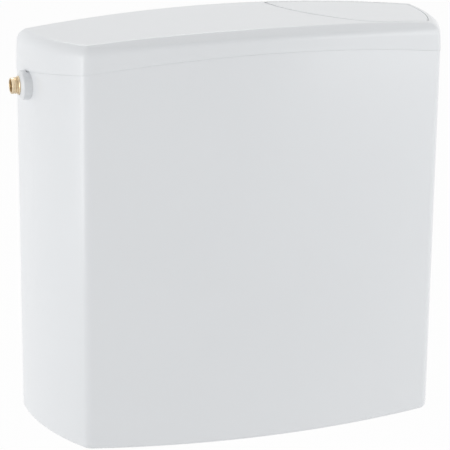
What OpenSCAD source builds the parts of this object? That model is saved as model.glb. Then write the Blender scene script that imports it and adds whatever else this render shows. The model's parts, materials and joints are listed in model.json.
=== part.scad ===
// Wall-hung toilet cistern with a lift-off lid, a flush key in the lid, a flush valve
// and a fill valve that a float drives.
// Millimetres, +Z up, the wall is the plane y = 0 and the front faces -Y.
// The origin lies on the wall, midway between the two wall screws.

/* [Housing] */
// Height from the underside of the tank to the crown of the lid
housing_h = 420; // [400:1:460]
// Width at the wall
housing_w = 428; // [410:1:460]
// Width between the two front corners
front_w = 365; // [340:1:390]
// Depth from the wall to the front corners
side_d = 140; // [132:1:156]
// How far the middle of the front stands ahead of its corners
front_bow = 25; // [16:1:32]
// How far each side swells beyond the straight line from wall to corner
side_bow = 10; // [6:0.5:13]
// Radius of the two upright front corners
corner_r = 12; // [10:0.5:16]
// How far the front leans back from the seam down to the underside
front_lean = 8; // [0:1:12]
// Radius of the lower edge
foot_r = 4; // [2:0.5:6]
// Wall thickness of the tank
wall_t = 3; // [2.4:0.2:3.6]
// Thickness of the tank's floor
floor_t = 3.5; // [3:0.5:5]

/* [Lid] */
// Height from the seam to the crown at the middle of the front
lid_h = 22; // [18:1:28]
// How far the seam drops from the middle of the front to the front corners
seam_corner_drop = 15; // [8:1:18]
// How far the seam drops further from the front corners to the wall
seam_wall_drop = 22; // [12:1:28]
// How far the top drops from the middle to the front corners
crown_drop = 10; // [6:1:13]
// How far the top falls from the front to the wall
crown_fall = 4; // [0:1:6]
// Radius of the lid's upper edge
lid_edge_r = 12; // [9:0.5:13]
// Wall thickness of the lid
lid_t = 2.6; // [2.2:0.2:3]
// How far the lid's lower edge stands out beyond the tank
lid_overhang = 1; // [0.5:0.1:1.5]
// How much the lid's skirt widens from top to bottom
lid_flare = 1.3; // [0.5:0.1:2]
// Open height of the seam between lid and tank
seam_gap = 0.4; // [0.3:0.1:1]
// Height of the tank's rim inside the lid
rim_h = 8; // [6:0.5:10]
// Clearance between the tank's rim and the lid's skirt
rim_gap = 0.8; // [0.5:0.1:1.2]

/* [Insulation] */
// Thickness of the insulation liner
liner_t = 6; // [4:0.5:8]
// How far the liner's upper edge stays below the crown
liner_drop = 118; // [110:1:150]
// Clearance between the liner and the tank
liner_gap = 0.3; // [0.2:0.1:0.6]

/* [Wall fixing] */
// Distance between the two wall screws
screw_spacing = 150; // [120:1:180]
// How far the wall screws stay below the crown
screw_drop = 84; // [78:1:92]
// Radius of the wall screw holes
screw_hole_r = 4.5; // [4.2:0.1:5]
// Radius of the bosses round the wall screw holes
screw_boss_r = 12; // [9:0.5:14]
// Height of the bosses inside the tank
screw_boss_h = 9; // [6:0.5:10]

/* [Water inlet] */
// How far the inlet stays below the seam
inlet_drop = 13.4; // [13:0.1:18]
// Distance of the inlet from the wall
inlet_y = 40; // [37:1:44]
// Outer radius of the pipe thread on the nipple
inlet_thread_r = 8.33; // [8:0.01:8.6]
// Length of the thread on the nipple's outer end
inlet_thread_l = 6.5; // [5:0.5:10]
// Radius of the nipple's shoulder
nipple_shoulder_r = 9.2; // [8.8:0.1:9.8]
// Length of the nipple's shoulder
nipple_shoulder_l = 4; // [3:0.5:6]
// Radius of the water way through the nipple
nipple_bore_r = 5; // [4:0.1:5.5]
// Radius of the round collar outside the tank
collar_r = 14.5; // [13.5:0.5:16]
// Length of the round collar
collar_l = 4.5; // [4:0.5:8]
// How far the collar's sloping front stands out round the nipple's shoulder
collar_front_l = 2.5; // [1.5:0.5:3]
// Thickness of the sealing washer under the collar
inlet_washer_t = 1.5; // [1:0.1:2]
// Thickness of the nut inside the tank
inlet_nut_t = 6; // [5:0.5:8]

/* [Fill valve] */
// Length of the valve body from the inner nut to the valve head
fill_neck_l = 22; // [16:1:26]
// Radius of the valve head
fill_head_r = 17; // [15:0.5:18]
// Length of the valve head
fill_head_l = 22; // [20:1:26]
// Thickness of the cap on the valve head
fill_cap_t = 5; // [4:0.5:6]
// Length of the pilot nozzle on the cap
nozzle_l = 4; // [3:0.5:5]
// Distance from the nozzle down to the pivot of the fill lever
fill_pivot_drop = 14; // [12:0.5:14.5]
// Distance from the pivot of the fill lever to the float rod
fill_arm = 40; // [36:1:46]
// Largest angle of the fill lever
fill_turn = 20; // [16:1:22]
// Outer radius of the drop tube
drop_tube_r = 8; // [7:0.5:9]
// Wall thickness of the drop tube
drop_tube_t = 2; // [1.5:0.25:2.5]
// Height of the drop tube's lower end above the underside of the tank
drop_end = 70; // [50:1:100]
// Length of the float
float_l = 98; // [90:1:104]
// Depth of the float
float_d = 48; // [42:1:54]
// Height of the float
float_h = 54; // [40:1:70]
// How far the float's top lies below the inlet when the tank is empty
float_drop = 62; // [56:1:70]
// Radius of the float rod
float_rod_r = 2.5; // [2:0.25:3]

/* [Flush outlet] */
// Distance of the outlet from the wall
outlet_y = 78; // [74:1:82]
// Outer radius of the outlet thread
outlet_thread_r = 26.87; // [26:0.01:28]
// Radius of the flush pipe that fits the socket
pipe_r = 22; // [20:0.5:22.5]
// Clearance between the flush pipe and the socket
pipe_gap = 0.3; // [0.1:0.05:0.4]
// Depth of the socket for the flush pipe
socket_l = 22; // [18:1:24]
// Depth of the pocket in the tank's underside round the outlet
pocket_h = 26; // [24:1:32]
// Radius of the pocket
pocket_r = 46; // [44:1:50]
// How far the union nut stands below the tank
nut_below = 10; // [8:1:12]
// Thickness of the lock nut
lock_nut_t = 9; // [7:1:10]

/* [Flush valve] */
// Radius of the basin's flange
basin_r = 42; // [41:0.5:44]
// Thickness of the basin's gasket
gasket_t = 2.5; // [2:0.5:3]
// Radius of the valve cage
cage_r = 38.5; // [37.5:0.5:40]
// Height of the valve cage
cage_h = 117; // [105:1:125]
// Outer radius of the overflow tube
overflow_r = 17; // [16:0.5:18]
// How far the overflow tube's top stays below the crown
overflow_drop = 90; // [86:1:96]
// Thickness of the flush seal
seal_t = 3.2; // [2.5:0.1:4]
// Radius of the valve float
valve_float_r = 31; // [28:0.5:32]
// Height of the valve float
valve_float_h = 40; // [30:1:45]

/* [Flush key] */
// Radius of the arc that bounds the key on its left
key_arc_r = 177; // [165:1:182]
// Distance of that arc's centre from the middle of the cistern
key_arc_x = 220; // [212:1:226]
// Width of the lid's rim beside and behind the key
key_rim = 14; // [13.5:0.5:16]
// Width of the lid's rim in front of the key
key_front_rim = 18; // [16:0.5:24]
// Thickness of the key
key_t = 3; // [2.4:0.2:3.6]
// Gap round the key
key_gap = 1.2; // [0.6:0.1:1.6]
// Distance of the hinge from the key's rear edge
key_hinge_in = 6; // [5:0.5:8]
// How far the hinge lies below the crown
key_hinge_drop = 22; // [21:0.5:24]
// Radius of the hinge pin
key_pin_r = 2; // [1.5:0.25:2.5]
// Largest angle of the key
key_turn = 5; // [4:0.5:5.5]

/* [Lift lever] */
// How far the lever's pivot lies below the crown
lever_drop = 54; // [52:1:60]
// Distance from the lift rod to the lever's pivot
lever_long = 52; // [46:1:54]
// Distance from the lever's pivot to the point that the key presses
lever_short = 26; // [24:1:30]
// Width of the lever
lever_w = 14; // [12:1:16]
// Depth of the lever's arms
lever_t = 6; // [5:0.5:7]
// Radius of the lever's pin
lever_pin_r = 2.5; // [2:0.25:3]

/* [Fits] */
// Running clearance of a pin in its hole
pin_gap = 0.05; // [0.02:0.01:0.08]
// Clearance between neighbouring moving pieces
move_gap = 0.3; // [0.3:0.05:0.6]
// Clearance of a threaded piece in the hole that it passes
hole_gap = 0.4; // [0.2:0.1:0.8]

/* [Hidden] */
$fn = 64;

white = "#f2f2f2";
inner_white = "#e4e6e6";
grey = "#9aa0a4";
blue_grey = "#7f95a8";
rubber = "#2b2b2b";
brass = "#c9a66b";
steel = "#b8bcc0";

// Segments of one side, one corner, the front and the back of a plan outline
side_n = 10;
corner_n = 5;
front_n = 28;
back_n = 10;
// Share of the outline's size at each ring of a crowned surface, from the middle outwards
crown_steps = [0.3, 0.55, 0.78];
edge_n = 5;

seam_mid = housing_h - lid_h;
screw_z = housing_h - screw_drop;
half_front = front_w / 2;
full_d = side_d + front_bow;

// Circles of the plan: front and right side, each as centre and radius
front_r = half_front * half_front / (2 * front_bow) + front_bow / 2;
front_c = [0, front_r - full_d];
side_from = [housing_w / 2, 0];
side_to = [half_front, -side_d];
side_chord = norm(side_to - side_from);
side_u = (side_to - side_from) / side_chord;
side_r = side_chord * side_chord / (8 * side_bow) + side_bow / 2;
side_c = (side_from + side_to) / 2 - (side_r - side_bow) * [-side_u[1], side_u[0]];
FRONT = [front_c, front_r];
RIGHT = [side_c, side_r];
LEFT = [[-side_c[0], side_c[1]], side_r];

function heading(c, p) = atan2(p[1] - c[1], p[0] - c[0]);

// One of the two points where two circles cross
function crossing(c0, r0, c1, r1, side) =
    let(v = c1 - c0, d = norm(v), e = v / d, a = (r0 * r0 - r1 * r1 + d * d) / (2 * d))
    c0 + a * e + side * sqrt(max(0, r0 * r0 - a * a)) * [-e[1], e[0]];

function arc(c, r, from, to, n, first) =
    [for (i = [first:n]) let(a = from + (to - from) * i / n) c + r * [cos(a), sin(a)]];

// Plan outline between a left, front and right circle and a straight back, moved inwards by d.
// round_l and round_r are the corner radii at d = 0, and back is the y of the straight back.
function plan(left, front, right, d, round_l, round_r, back) =
    let(
        rl = max(round_l - d, 1),
        rr = max(round_r - d, 1),
        kr = crossing(right[0], right[1] - d - rr, front[0], front[1] - d - rr, -1),
        kl = crossing(left[0], left[1] - d - rl, front[0], front[1] - d - rl, 1),
        right_a = heading(right[0], kr),
        front_a = heading(front[0], kr),
        front_b = heading(front[0], kl),
        left_a = heading(left[0], kl),
        right_back = asin((back - right[0][1]) / (right[1] - d)),
        left_back = -180 - asin((back - left[0][1]) / (left[1] - d)),
        along = concat(
            arc(right[0], right[1] - d, right_back, right_a, side_n, 0),
            arc(kr, rr, right_a, front_a, corner_n, 1),
            arc(front[0], front[1] - d, front_a, front_b, front_n, 1),
            arc(kl, rl, front_b, left_a, corner_n, 1),
            arc(left[0], left[1] - d, left_a, left_back, side_n, 1)),
        last = along[len(along) - 1])
    concat(along, [for (i = [1:back_n - 1]) last + (along[0] - last) * i / back_n]);

function housing_plan(d, back) = plan(LEFT, FRONT, RIGHT, d, corner_r, corner_r, back);

// Height of the seam, arched across the front and falling along the sides
function seam(x, y) = seam_mid - seam_corner_drop * min(1, pow(x / half_front, 2))
    - seam_wall_drop * min(1, max(0, (y + side_d) / side_d));

// Height of the crowned top
function crown(x, y) = housing_h - crown_drop * pow(x / half_front, 2)
    - crown_fall * max(0, (y + side_d) / side_d);

// Share of the depth that is left at height z, because the front leans back
function lean(z) = 1 - front_lean / full_d * max(0, 1 - z / seam_mid);

function leant(pts, z) = [for (p = pts) [p[0], p[1] * lean(z)]];
function level(pts, z) = [for (p = pts) [p[0], p[1], z]];
function on_seam(pts, dz) = [for (p = pts) [p[0], p[1], seam(p[0], p[1]) + dz]];
function on_crown(pts, dz) = [for (p = pts) [p[0], p[1], crown(p[0], p[1]) + dz]];
function middle(pts) = [for (k = [0:len(pts[0]) - 1]) sum([for (p = pts) p[k]]) / len(pts)];
function sum(list, i = 0) = i < len(list) ? list[i] + sum(list, i + 1) : 0;
function shrunk(pts, c, k) = [for (p = pts) c + k * (p - c)];

// Solid through a row of rings with equal counts, closed by a fan that faces down and one that faces up
module loft(rings) {
    n = len(rings[0]);
    m = len(rings);
    pts = concat([for (r = rings) each r], [middle(rings[0]), middle(rings[m - 1])]);
    walls = [for (j = [0:m - 2], i = [0:n - 1]) let(a = j * n + i, b = j * n + (i + 1) % n)
        each [[a, b, b + n], [a, b + n, a + n]]];
    low = [for (i = [0:n - 1]) [m * n, (i + 1) % n, i]];
    high = [for (i = [0:n - 1]) [m * n + 1, (m - 1) * n + i, (m - 1) * n + (i + 1) % n]];
    polyhedron(points = pts, faces = concat(walls, low, high), convexity = 6);
}

// Moves a piece from the height above the tank's underside to the part's frame
module hung() {
    translate([0, 0, -screw_z])
        children();
}

module at_outlet(z = 0) {
    translate([0, -outlet_y, z])
        children();
}

// Cylinder along +X, or along -X where the length is negative
module along_x(r, l) {
    rotate([0, l < 0 ? -90 : 90, 0])
        cylinder(r = r, h = abs(l));
}

module along_y(r, l, centred = true) {
    rotate([90, 0, 0])
        cylinder(r = r, h = l, center = centred);
}

// Tube between two radii from z0 to z1
module tube(outer, inner, z0, z1) {
    rotate_extrude()
        translate([inner, z0])
            square([outer - inner, z1 - z0]);
}

// Tank
rim_in = rim_gap + lid_t - lid_overhang + lid_flare;
inlet_pad_r = collar_r - 2.5;
inlet_pad_t = 0.15;
// Round boss on the tank's side that carries the collar
inlet_boss_r = collar_r - 0.1;
inlet_boss_sink = 0.3;
inlet_pad_in = rim_in + rim_gap;
plateau_z = pocket_h + floor_t;

// Height of the inlet, and half width of the tank's outside there
inlet_z = seam(housing_w / 2, -inlet_y) - inlet_drop;
function side_x(y, z) = side_c[0] + sqrt(pow(side_r, 2) - pow(y / lean(z) - side_c[1], 2));
wall_x = side_x(-inlet_y, inlet_z);
boss_side = [for (k = [-1:0.25:1]) side_x(-inlet_y + k * inlet_boss_r, inlet_z)];
pad_x = max(boss_side) + lid_overhang + inlet_pad_t;
boss_in_x = min(boss_side) - inlet_boss_sink;
nut_x = wall_x - wall_t - inlet_pad_in;

function foot_ring(a) = let(d = foot_r * (1 - sin(a)), z = foot_r * (1 - cos(a)))
    level(leant(housing_plan(d, -d), z), z);
function tank_ring(d, dz) = on_seam(housing_plan(d, -d), dz);
function inner_ring(d, z) = level(leant(housing_plan(d, -d), z), z);

tank_rings = [
    for (a = [0:30:90]) foot_ring(a),
    tank_ring(0, -seam_gap),
    tank_ring(rim_in, -seam_gap),
    tank_ring(rim_in, rim_h),
    tank_ring(rim_in + wall_t, rim_h),
    tank_ring(rim_in + wall_t, -wall_t),
    tank_ring(wall_t, -wall_t - rim_in),
    inner_ring(wall_t, floor_t + foot_r),
    inner_ring(wall_t + foot_r / 3, floor_t + foot_r / 3),
    inner_ring(wall_t + foot_r, floor_t)];

module screw_places() {
    for (s = [-1, 1])
        translate([s * screw_spacing / 2, 0, screw_z])
            children();
}

// All that is above the lid's edge at the sides, with room below it
seam_room = 0.8;

module above_seam() {
    rotate([90, 0, 90])
        linear_extrude(height = 2 * housing_w, center = true)
            polygon([
                [0, seam(housing_w / 2, 0) - seam_room],
                [0, 2 * housing_h],
                [-side_d, 2 * housing_h],
                [-side_d, seam(housing_w / 2, -side_d) - seam_room]]);
}

module tank() {
    color(white) hung() difference() {
        union() {
            loft(tank_rings);
            at_outlet(floor_t / 2)
                cylinder(r = pocket_r + floor_t, h = plateau_z - floor_t / 2);
            screw_places()
                translate([0, -wall_t / 2, 0])
                    along_y(screw_boss_r, wall_t / 2 + screw_boss_h, false);
            for (s = [-1, 1])
                translate([s * (boss_in_x + inlet_boss_sink / 2), -inlet_y, inlet_z])
                    along_x(inlet_pad_r, -s * (boss_in_x + inlet_boss_sink / 2 - nut_x));
            difference() {
                for (s = [-1, 1])
                    translate([s * pad_x, -inlet_y, inlet_z])
                        along_x(inlet_boss_r, -s * (pad_x - boss_in_x));
                above_seam();
            }
        }
        at_outlet(-1)
            cylinder(r = pocket_r, h = pocket_h + 1);
        at_outlet(0)
            cylinder(r = outlet_thread_r + hole_gap, h = plateau_z + 1);
        screw_places()
            translate([0, 1, 0])
                along_y(screw_hole_r, wall_t + screw_boss_h + 2, false);
        for (s = [-1, 1])
            translate([s * (pad_x + 1), -inlet_y, inlet_z])
                along_x(inlet_thread_r + hole_gap, -s * (pad_x - nut_x + 2));
    }
}

// Insulation liner
liner_out = wall_t + liner_gap;
liner_in = liner_out + liner_t;
liner_z = floor_t + liner_gap;
liner_top = housing_h - liner_drop;
liner_rings = [
    inner_ring(liner_out + foot_r, liner_z),
    inner_ring(liner_out, liner_z + foot_r),
    inner_ring(liner_out, liner_top),
    inner_ring(liner_in, liner_top),
    inner_ring(liner_in, liner_z + liner_t)];

module insulation_liner() {
    color(inner_white) hung() difference() {
        loft(liner_rings);
        at_outlet(0)
            cylinder(r = pocket_r + floor_t + liner_gap, h = plateau_z);
    }
}

// Flush key outline, moved inwards by d
KEY_LEFT = [[key_arc_x, 0], key_arc_r];
KEY_FRONT = [front_c, front_r - key_front_rim];
KEY_RIGHT = [side_c, side_r - key_rim];
key_round_l = 40;
key_round_r = 10;
key_back = -key_rim;
function key_plan(d) = plan(KEY_LEFT, KEY_FRONT, KEY_RIGHT, d, key_round_l, key_round_r, key_back - d);

// Lid
function lid_inset(a) = lid_flare - lid_overhang + lid_edge_r * (1 - cos(a));
function lid_back(d) = -max(d, seam_gap);
function edge_ring(a) =
    on_crown(housing_plan(lid_inset(a), lid_back(lid_inset(a))), lid_edge_r * (sin(a) - 1));
inner_r = lid_edge_r - lid_t;
function inner_inset(a) = lid_inset(0) + lid_t + inner_r * (1 - cos(a));
function inner_edge_ring(a) =
    on_crown(housing_plan(inner_inset(a), lid_back(inner_inset(a))), inner_r * (sin(a) - 1) - lid_t);
lid_top_plan = housing_plan(lid_inset(90), lid_back(lid_inset(90)));
lid_roof_plan = housing_plan(inner_inset(90), lid_back(inner_inset(90)));
lid_c = middle(lid_top_plan);
lid_skirt_in = lid_t - lid_overhang;

lid_rings = [
    for (k = crown_steps) on_crown(shrunk(lid_roof_plan, lid_c, k), -lid_t),
    for (i = [edge_n:-1:0]) inner_edge_ring(90 * i / edge_n),
    on_seam(housing_plan(lid_skirt_in, lid_back(lid_skirt_in)), 0),
    on_seam(housing_plan(-lid_overhang, lid_back(-lid_overhang)), 0),
    for (i = [0:edge_n]) edge_ring(90 * i / edge_n),
    for (i = [len(crown_steps) - 1:-1:0]) on_crown(shrunk(lid_top_plan, lid_c, crown_steps[i]), 0)];

// Key tray under the lid, with two ears for its screws beside the key's arc
tray_floor = 2.5;
tray_t = 2;
tray_gap = 0.4;
tray_in = -key_gap - tray_gap;
tray_roof_gap = 0.8;
// Room between the pressed key's front edge and the tray's floor
tray_room = 7.4;
key_reach = full_d - key_front_rim - key_rim - key_hinge_in;
tray_z = housing_h - crown_drop - key_t - key_reach * sin(key_turn) - tray_room - tray_floor;
ear_r = 6;
ear_bar_w = 10;
ear_bar_step = 0.25;
ear_lift = 0.5;
ear_turns = [190, 222];
lid_boss_r = 4;
screw_r = 1.4;
screw_head_r = 3.2;
screw_head_h = 2;
screw_l = 14;
ear_low = tray_z + ear_lift;
ear_top = ear_low + tray_floor;
function ear_place(a) = KEY_LEFT[0] + (key_arc_r - tray_in + tray_t + ear_r) * [cos(a), sin(a)];

module ear_places(z) {
    for (a = ear_turns)
        translate([ear_place(a)[0], ear_place(a)[1], z])
            children();
}

module lid() {
    color(white) hung() difference() {
        union() {
            loft(lid_rings);
            for (a = ear_turns)
                let(p = ear_place(a), top = crown(p[0], p[1]) - lid_t / 2)
                    translate([p[0], p[1], ear_top])
                        cylinder(r = lid_boss_r, h = top - ear_top);
        }
        translate([0, 0, tray_z])
            linear_extrude(height = housing_h - tray_z + 1)
                polygon(key_plan(-key_gap));
        ear_places(ear_low)
            cylinder(r = screw_r + pin_gap, h = screw_l);
    }
}

// Places of the key's working points
lever_z = housing_h - lever_drop;
lever_x = lever_long;
press_x = lever_long + lever_short;
key_hinge_y = key_back - key_hinge_in;
key_hinge_z = housing_h - key_hinge_drop;
press_tip_r = 5;
press_rib_t = 3;
press_rib_l = 18;
press_rib_lift = 14;
press_z = lever_z + move_gap + press_tip_r;
hinge_left_in = 12;
hinge_right_in = 38;
hinge_xs = [press_x + hinge_left_in, wall_x - key_rim - hinge_right_in];
hinge_lug_w = 8;
hinge_lug_r = 5;
tray_lug_w = 5;
tray_lug_off = hinge_lug_w / 2 + move_gap + tray_lug_w / 2;
spring_beside = 62;
spring_ahead = 86;
spring_x = press_x + spring_beside;
spring_y = key_back - spring_ahead;
spring_seat_r = 4.5;
spring_peg_h = 4;

key_c = middle(key_plan(0));
key_edge = 0.8;
key_rings = [
    for (k = crown_steps) on_crown(shrunk(key_plan(0), key_c, k), -key_t),
    on_crown(key_plan(0), -key_t),
    on_crown(key_plan(0), -key_edge),
    on_crown(key_plan(key_edge), 0),
    for (i = [len(crown_steps) - 1:-1:0]) on_crown(shrunk(key_plan(key_edge), key_c, crown_steps[i]), 0)];

// Underside of the key at a point
function under_key(x, y) = crown(x, y) - key_t;

module flush_key() {
    post_top = under_key(press_x, -outlet_y) + key_t / 2;
    peg_top = under_key(spring_x, spring_y) + key_t / 2;
    color(white) hung() difference() {
        union() {
            loft(key_rings);
            translate([press_x, -outlet_y, press_z]) {
                sphere(r = press_tip_r);
                cylinder(r = press_tip_r, h = post_top - press_z);
            }
            translate([press_x - press_rib_t / 2, -outlet_y, tray_z + press_rib_lift])
                cube([press_rib_t, press_rib_l, post_top - tray_z - press_rib_lift - key_t / 6]);
            translate([spring_x, spring_y, peg_top - key_t / 2 - spring_peg_h])
                cylinder(r = spring_seat_r, h = spring_peg_h + key_t / 2);
            for (x = hinge_xs)
                translate([x, key_hinge_y, key_hinge_z]) {
                    rotate([0, 90, 0])
                        cylinder(r = hinge_lug_r, h = hinge_lug_w, center = true);
                    translate([-hinge_lug_w / 2, -hinge_lug_r, 0])
                        cube([hinge_lug_w, 2 * hinge_lug_r,
                            under_key(x + hinge_lug_w / 2, key_hinge_y) + key_t / 2 - key_hinge_z]);
                }
        }
        for (x = hinge_xs)
            translate([x - hinge_lug_w, key_hinge_y, key_hinge_z])
                along_x(key_pin_r + pin_gap, 2 * hinge_lug_w);
    }
}

// Opening in the tray's floor for the post, wide enough for its swing
press_room = 4;
window_half = press_tip_r + press_room;
window_ahead = window_half + (key_hinge_z - press_z) * sin(key_turn);

tray_rings = [
    level(key_plan(tray_in - tray_t), tray_z),
    on_crown(key_plan(tray_in - tray_t), -lid_t - tray_roof_gap),
    on_crown(key_plan(tray_in), -lid_t - tray_roof_gap),
    level(key_plan(tray_in), tray_z + tray_floor)];

module key_tray() {
    color(inner_white) hung() difference() {
        union() {
            loft(tray_rings);
            for (a = ear_turns)
                translate(concat(ear_place(a), ear_low)) {
                    cylinder(r = ear_r, h = tray_floor);
                    rotate(a)
                        translate([-ear_r - tray_t, -ear_bar_w / 2, ear_bar_step])
                            cube([ear_r + tray_t, ear_bar_w, tray_floor - 2 * ear_bar_step]);
                }
            for (x = hinge_xs, s = [-1, 1])
                translate([x + s * tray_lug_off, key_hinge_y, key_hinge_z]) {
                    rotate([0, 90, 0])
                        cylinder(r = hinge_lug_r, h = tray_lug_w, center = true);
                    translate([-tray_lug_w / 2, -hinge_lug_r, tray_z + tray_floor / 2 - key_hinge_z])
                        cube([tray_lug_w, 2 * hinge_lug_r, key_hinge_z - tray_z - tray_floor / 2]);
                }
            translate([spring_x, spring_y, tray_z + tray_floor / 2])
                cylinder(r = spring_seat_r, h = tray_floor / 2 + spring_peg_h);
        }
        ear_places(tray_z - 1)
            cylinder(r = screw_r + hole_gap, h = tray_floor + 2);
        translate([press_x - window_half, -outlet_y - window_ahead, tray_z - 1])
            cube([2 * window_half, 2 * window_ahead, tray_floor + 2]);
        for (x = hinge_xs)
            translate([x - hinge_lug_w - tray_lug_w, key_hinge_y, key_hinge_z])
                along_x(key_pin_r + pin_gap / 2, 2 * hinge_lug_w + 2 * tray_lug_w);
    }
}

pin_over = 2;
hinge_pin_l = hinge_lug_w + 2 * move_gap + 2 * tray_lug_w + pin_over;

module key_hinge_pin() {
    color(steel) hung()
        for (x = hinge_xs)
            translate([x - hinge_pin_l / 2, key_hinge_y, key_hinge_z])
                along_x(key_pin_r, hinge_pin_l);
}

module tray_screws() {
    color(steel) hung()
        ear_places(ear_low) {
            translate([0, 0, -screw_head_h])
                cylinder(r = screw_head_r, h = screw_head_h);
            cylinder(r = screw_r, h = screw_l - 1);
        }
}

// Return spring of the key: one unbroken wire wound round the pegs of tray and key
spring_curls = 5;
spring_rings = 8;
spring_sides = 6;
spring_wire_r = 0.6;
spring_peg_gap = 0.4;
spring_low_gap = 0.05;
spring_high_gap = 0.25;
spring_coil_r = spring_seat_r + spring_wire_r + spring_peg_gap;
spring_low = tray_z + tray_floor + spring_wire_r + spring_low_gap;
spring_high = under_key(spring_x + spring_coil_r, spring_y) - spring_wire_r - spring_high_gap;
spring_pitch = (spring_high - spring_low) / spring_curls;
spring_slope = atan(spring_pitch / (2 * PI * spring_coil_r));
echo(spring_gap = spring_pitch * cos(spring_slope) - 2 * spring_wire_r);

function spring_ring(i) =
    let(t = 360 * i / spring_rings, out = [cos(t), sin(t), 0],
        rise = [sin(t) * sin(spring_slope), -cos(t) * sin(spring_slope), cos(spring_slope)],
        c = [0, 0, spring_low + spring_pitch * i / spring_rings] + spring_coil_r * out)
    [for (k = [0:spring_sides - 1]) let(a = 360 * k / spring_sides)
        c + spring_wire_r * (cos(a) * out + sin(a) * rise)];

module key_spring() {
    color(steel) hung()
        translate([spring_x, spring_y, 0])
            loft([for (i = [0:spring_curls * spring_rings]) spring_ring(i)]);
}

// Lift lever: fork at the lift rod, hub on the pin, pad under the key's post
lever_hub_r = 6;
lift_head_r = 4;
lift_head_l = 18;
lift_rod_r = 2.5;
fork_gap = 0.7;
fork_w = 2 * (lift_rod_r + fork_gap);
fork_reach = 12;
fork_in = 6;
pad_reach = 8;
lever_rib_t = 3;
lever_rib_h = 4;

module lift_lever() {
    arm_l = lever_long + fork_reach + lever_short + pad_reach;
    color(blue_grey) hung() at_outlet(lever_z) difference() {
        union() {
            translate([-fork_reach, -lever_w / 2, -lever_t])
                cube([arm_l, lever_w, lever_t]);
            translate([lever_x, 0, 0])
                along_y(lever_hub_r, lever_w);
            translate([fork_reach, -lever_rib_t / 2, -lever_t - lever_rib_h])
                cube([lever_long + lever_short - fork_reach - pad_reach, lever_rib_t, lever_t]);
        }
        translate([-fork_reach - 1, -fork_w / 2, -lever_t - 1])
            cube([fork_reach + 1 + fork_in, fork_w, lever_t + 2]);
        translate([lever_x, 0, 0])
            along_y(lever_pin_r + pin_gap, lever_w + 2);
    }
}

ear_gap = 0.4;
ear_t = 4;
lever_pin_l = lever_w + 2 * ear_gap + 2 * ear_t + pin_over;

module lever_pin() {
    color(steel) hung() at_outlet(lever_z)
        translate([lever_x, 0, 0])
            along_y(lever_pin_r, lever_pin_l);
}

// Flush valve heights above the tank's underside
flange_z = plateau_z + gasket_t;
flange_t = 4;
seat_h = 4;
seat_z = flange_z + flange_t + seat_h;
cage_low = flange_z + flange_t;
cage_top = cage_low + cage_h;
cage_t = 2.5;
seal_z = seat_z + move_gap;
bell_z = seal_z + seal_t;
bell_t = 3.5;
overflow_top = housing_h - overflow_drop;
overflow_t = 2;
overflow_in = overflow_r - overflow_t;
bridge_t = 4;
bridge_lift = 15;
bridge_z = overflow_top + bridge_lift;
bridge_side = 6;
post_w = 18;
post_t = 3.5;
post_y = 28;
post_rib_out = 2;
tower_ring_t = 3;
tower_ring_in = 1;
tower_gap = 4;

module lever_tower() {
    bridge_hole = overflow_r + tower_gap;
    bridge_left = post_w / 2 + bridge_side;
    bridge_right = lever_x + lever_hub_r + tower_gap;
    slot_from = bridge_hole + tower_gap;
    slot_to = lever_x - lever_hub_r - tower_gap;
    color(grey) hung() at_outlet() difference() {
        union() {
            tube(cage_r - tower_ring_in, bridge_hole + tower_ring_in, cage_top, cage_top + tower_ring_t);
            for (s = [-1, 1]) {
                translate([-post_w / 2, s * post_y - post_t / 2, cage_top + tower_ring_t / 2])
                    cube([post_w, post_t, bridge_z - cage_top]);
                translate([-post_t / 2, s * (post_y + post_rib_out) - post_t, cage_top + tower_ring_t / 2])
                    cube([post_t, 2 * post_t, bridge_z - cage_top]);
                translate([lever_x, s * (lever_w / 2 + ear_gap + ear_t / 2), lever_z]) {
                    along_y(lever_hub_r, ear_t);
                    translate([-lever_hub_r, -ear_t / 2, bridge_z + bridge_t / 2 - lever_z])
                        cube([2 * lever_hub_r, ear_t, lever_z - bridge_z - bridge_t / 2]);
                }
            }
            translate([-bridge_left, -post_y - post_t, bridge_z])
                cube([bridge_left + bridge_right, 2 * (post_y + post_t), bridge_t]);
        }
        translate([0, 0, bridge_z - 1])
            cylinder(r = bridge_hole, h = bridge_t + 2);
        translate([slot_from, -lever_w / 2, bridge_z - 1])
            cube([slot_to - slot_from, lever_w, bridge_t + 2]);
        translate([lever_x, 0, lever_z])
            along_y(lever_pin_r + pin_gap / 2, lever_pin_l + 2);
    }
}

window_w = 26;
window_low = 8;
window_high = 14;
cage_foot_in = 1;
guide_t = 2;
guide_h = 10;

module valve_cage() {
    guide_r = overflow_r + hole_gap;
    color(grey) hung() at_outlet() difference() {
        union() {
            tube(cage_r, cage_r - cage_t, cage_low, cage_top);
            tube(basin_r - cage_foot_in, cage_r - cage_t, cage_low, cage_low + flange_t);
            tube(cage_r, guide_r, cage_top - cage_t, cage_top);
            tube(guide_r + guide_t, guide_r, cage_top - guide_h, cage_top);
        }
        for (a = [0, 60, 120])
            rotate(a)
                translate([-basin_r, -window_w / 2, cage_low + window_low])
                    cube([2 * basin_r, window_w, cage_h - window_low - window_high]);
    }
}

socket_r = pipe_r + pipe_gap;
pipe_stop = 1.5;
throat_r = pipe_r - pipe_stop;
throat_top = flange_z + flange_t / 2;
seat_in = 11;
seat_out = basin_r - seat_in;
seat_lip = 3;

module outlet_basin() {
    color(grey) hung() at_outlet()
        rotate_extrude()
            polygon([
                [socket_r, 0], [outlet_thread_r, 0], [outlet_thread_r, flange_z],
                [basin_r, flange_z], [basin_r, cage_low], [seat_out, cage_low],
                [seat_out, seat_z], [seat_out - seat_lip, seat_z], [throat_r, throat_top],
                [throat_r, socket_l], [socket_r, socket_l]]);
}

gasket_in = 2;

module basin_gasket() {
    color(rubber) hung() at_outlet()
        tube(basin_r - gasket_in, outlet_thread_r + hole_gap, plateau_z, flange_z);
}

lock_nut_ring = 8;

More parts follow.
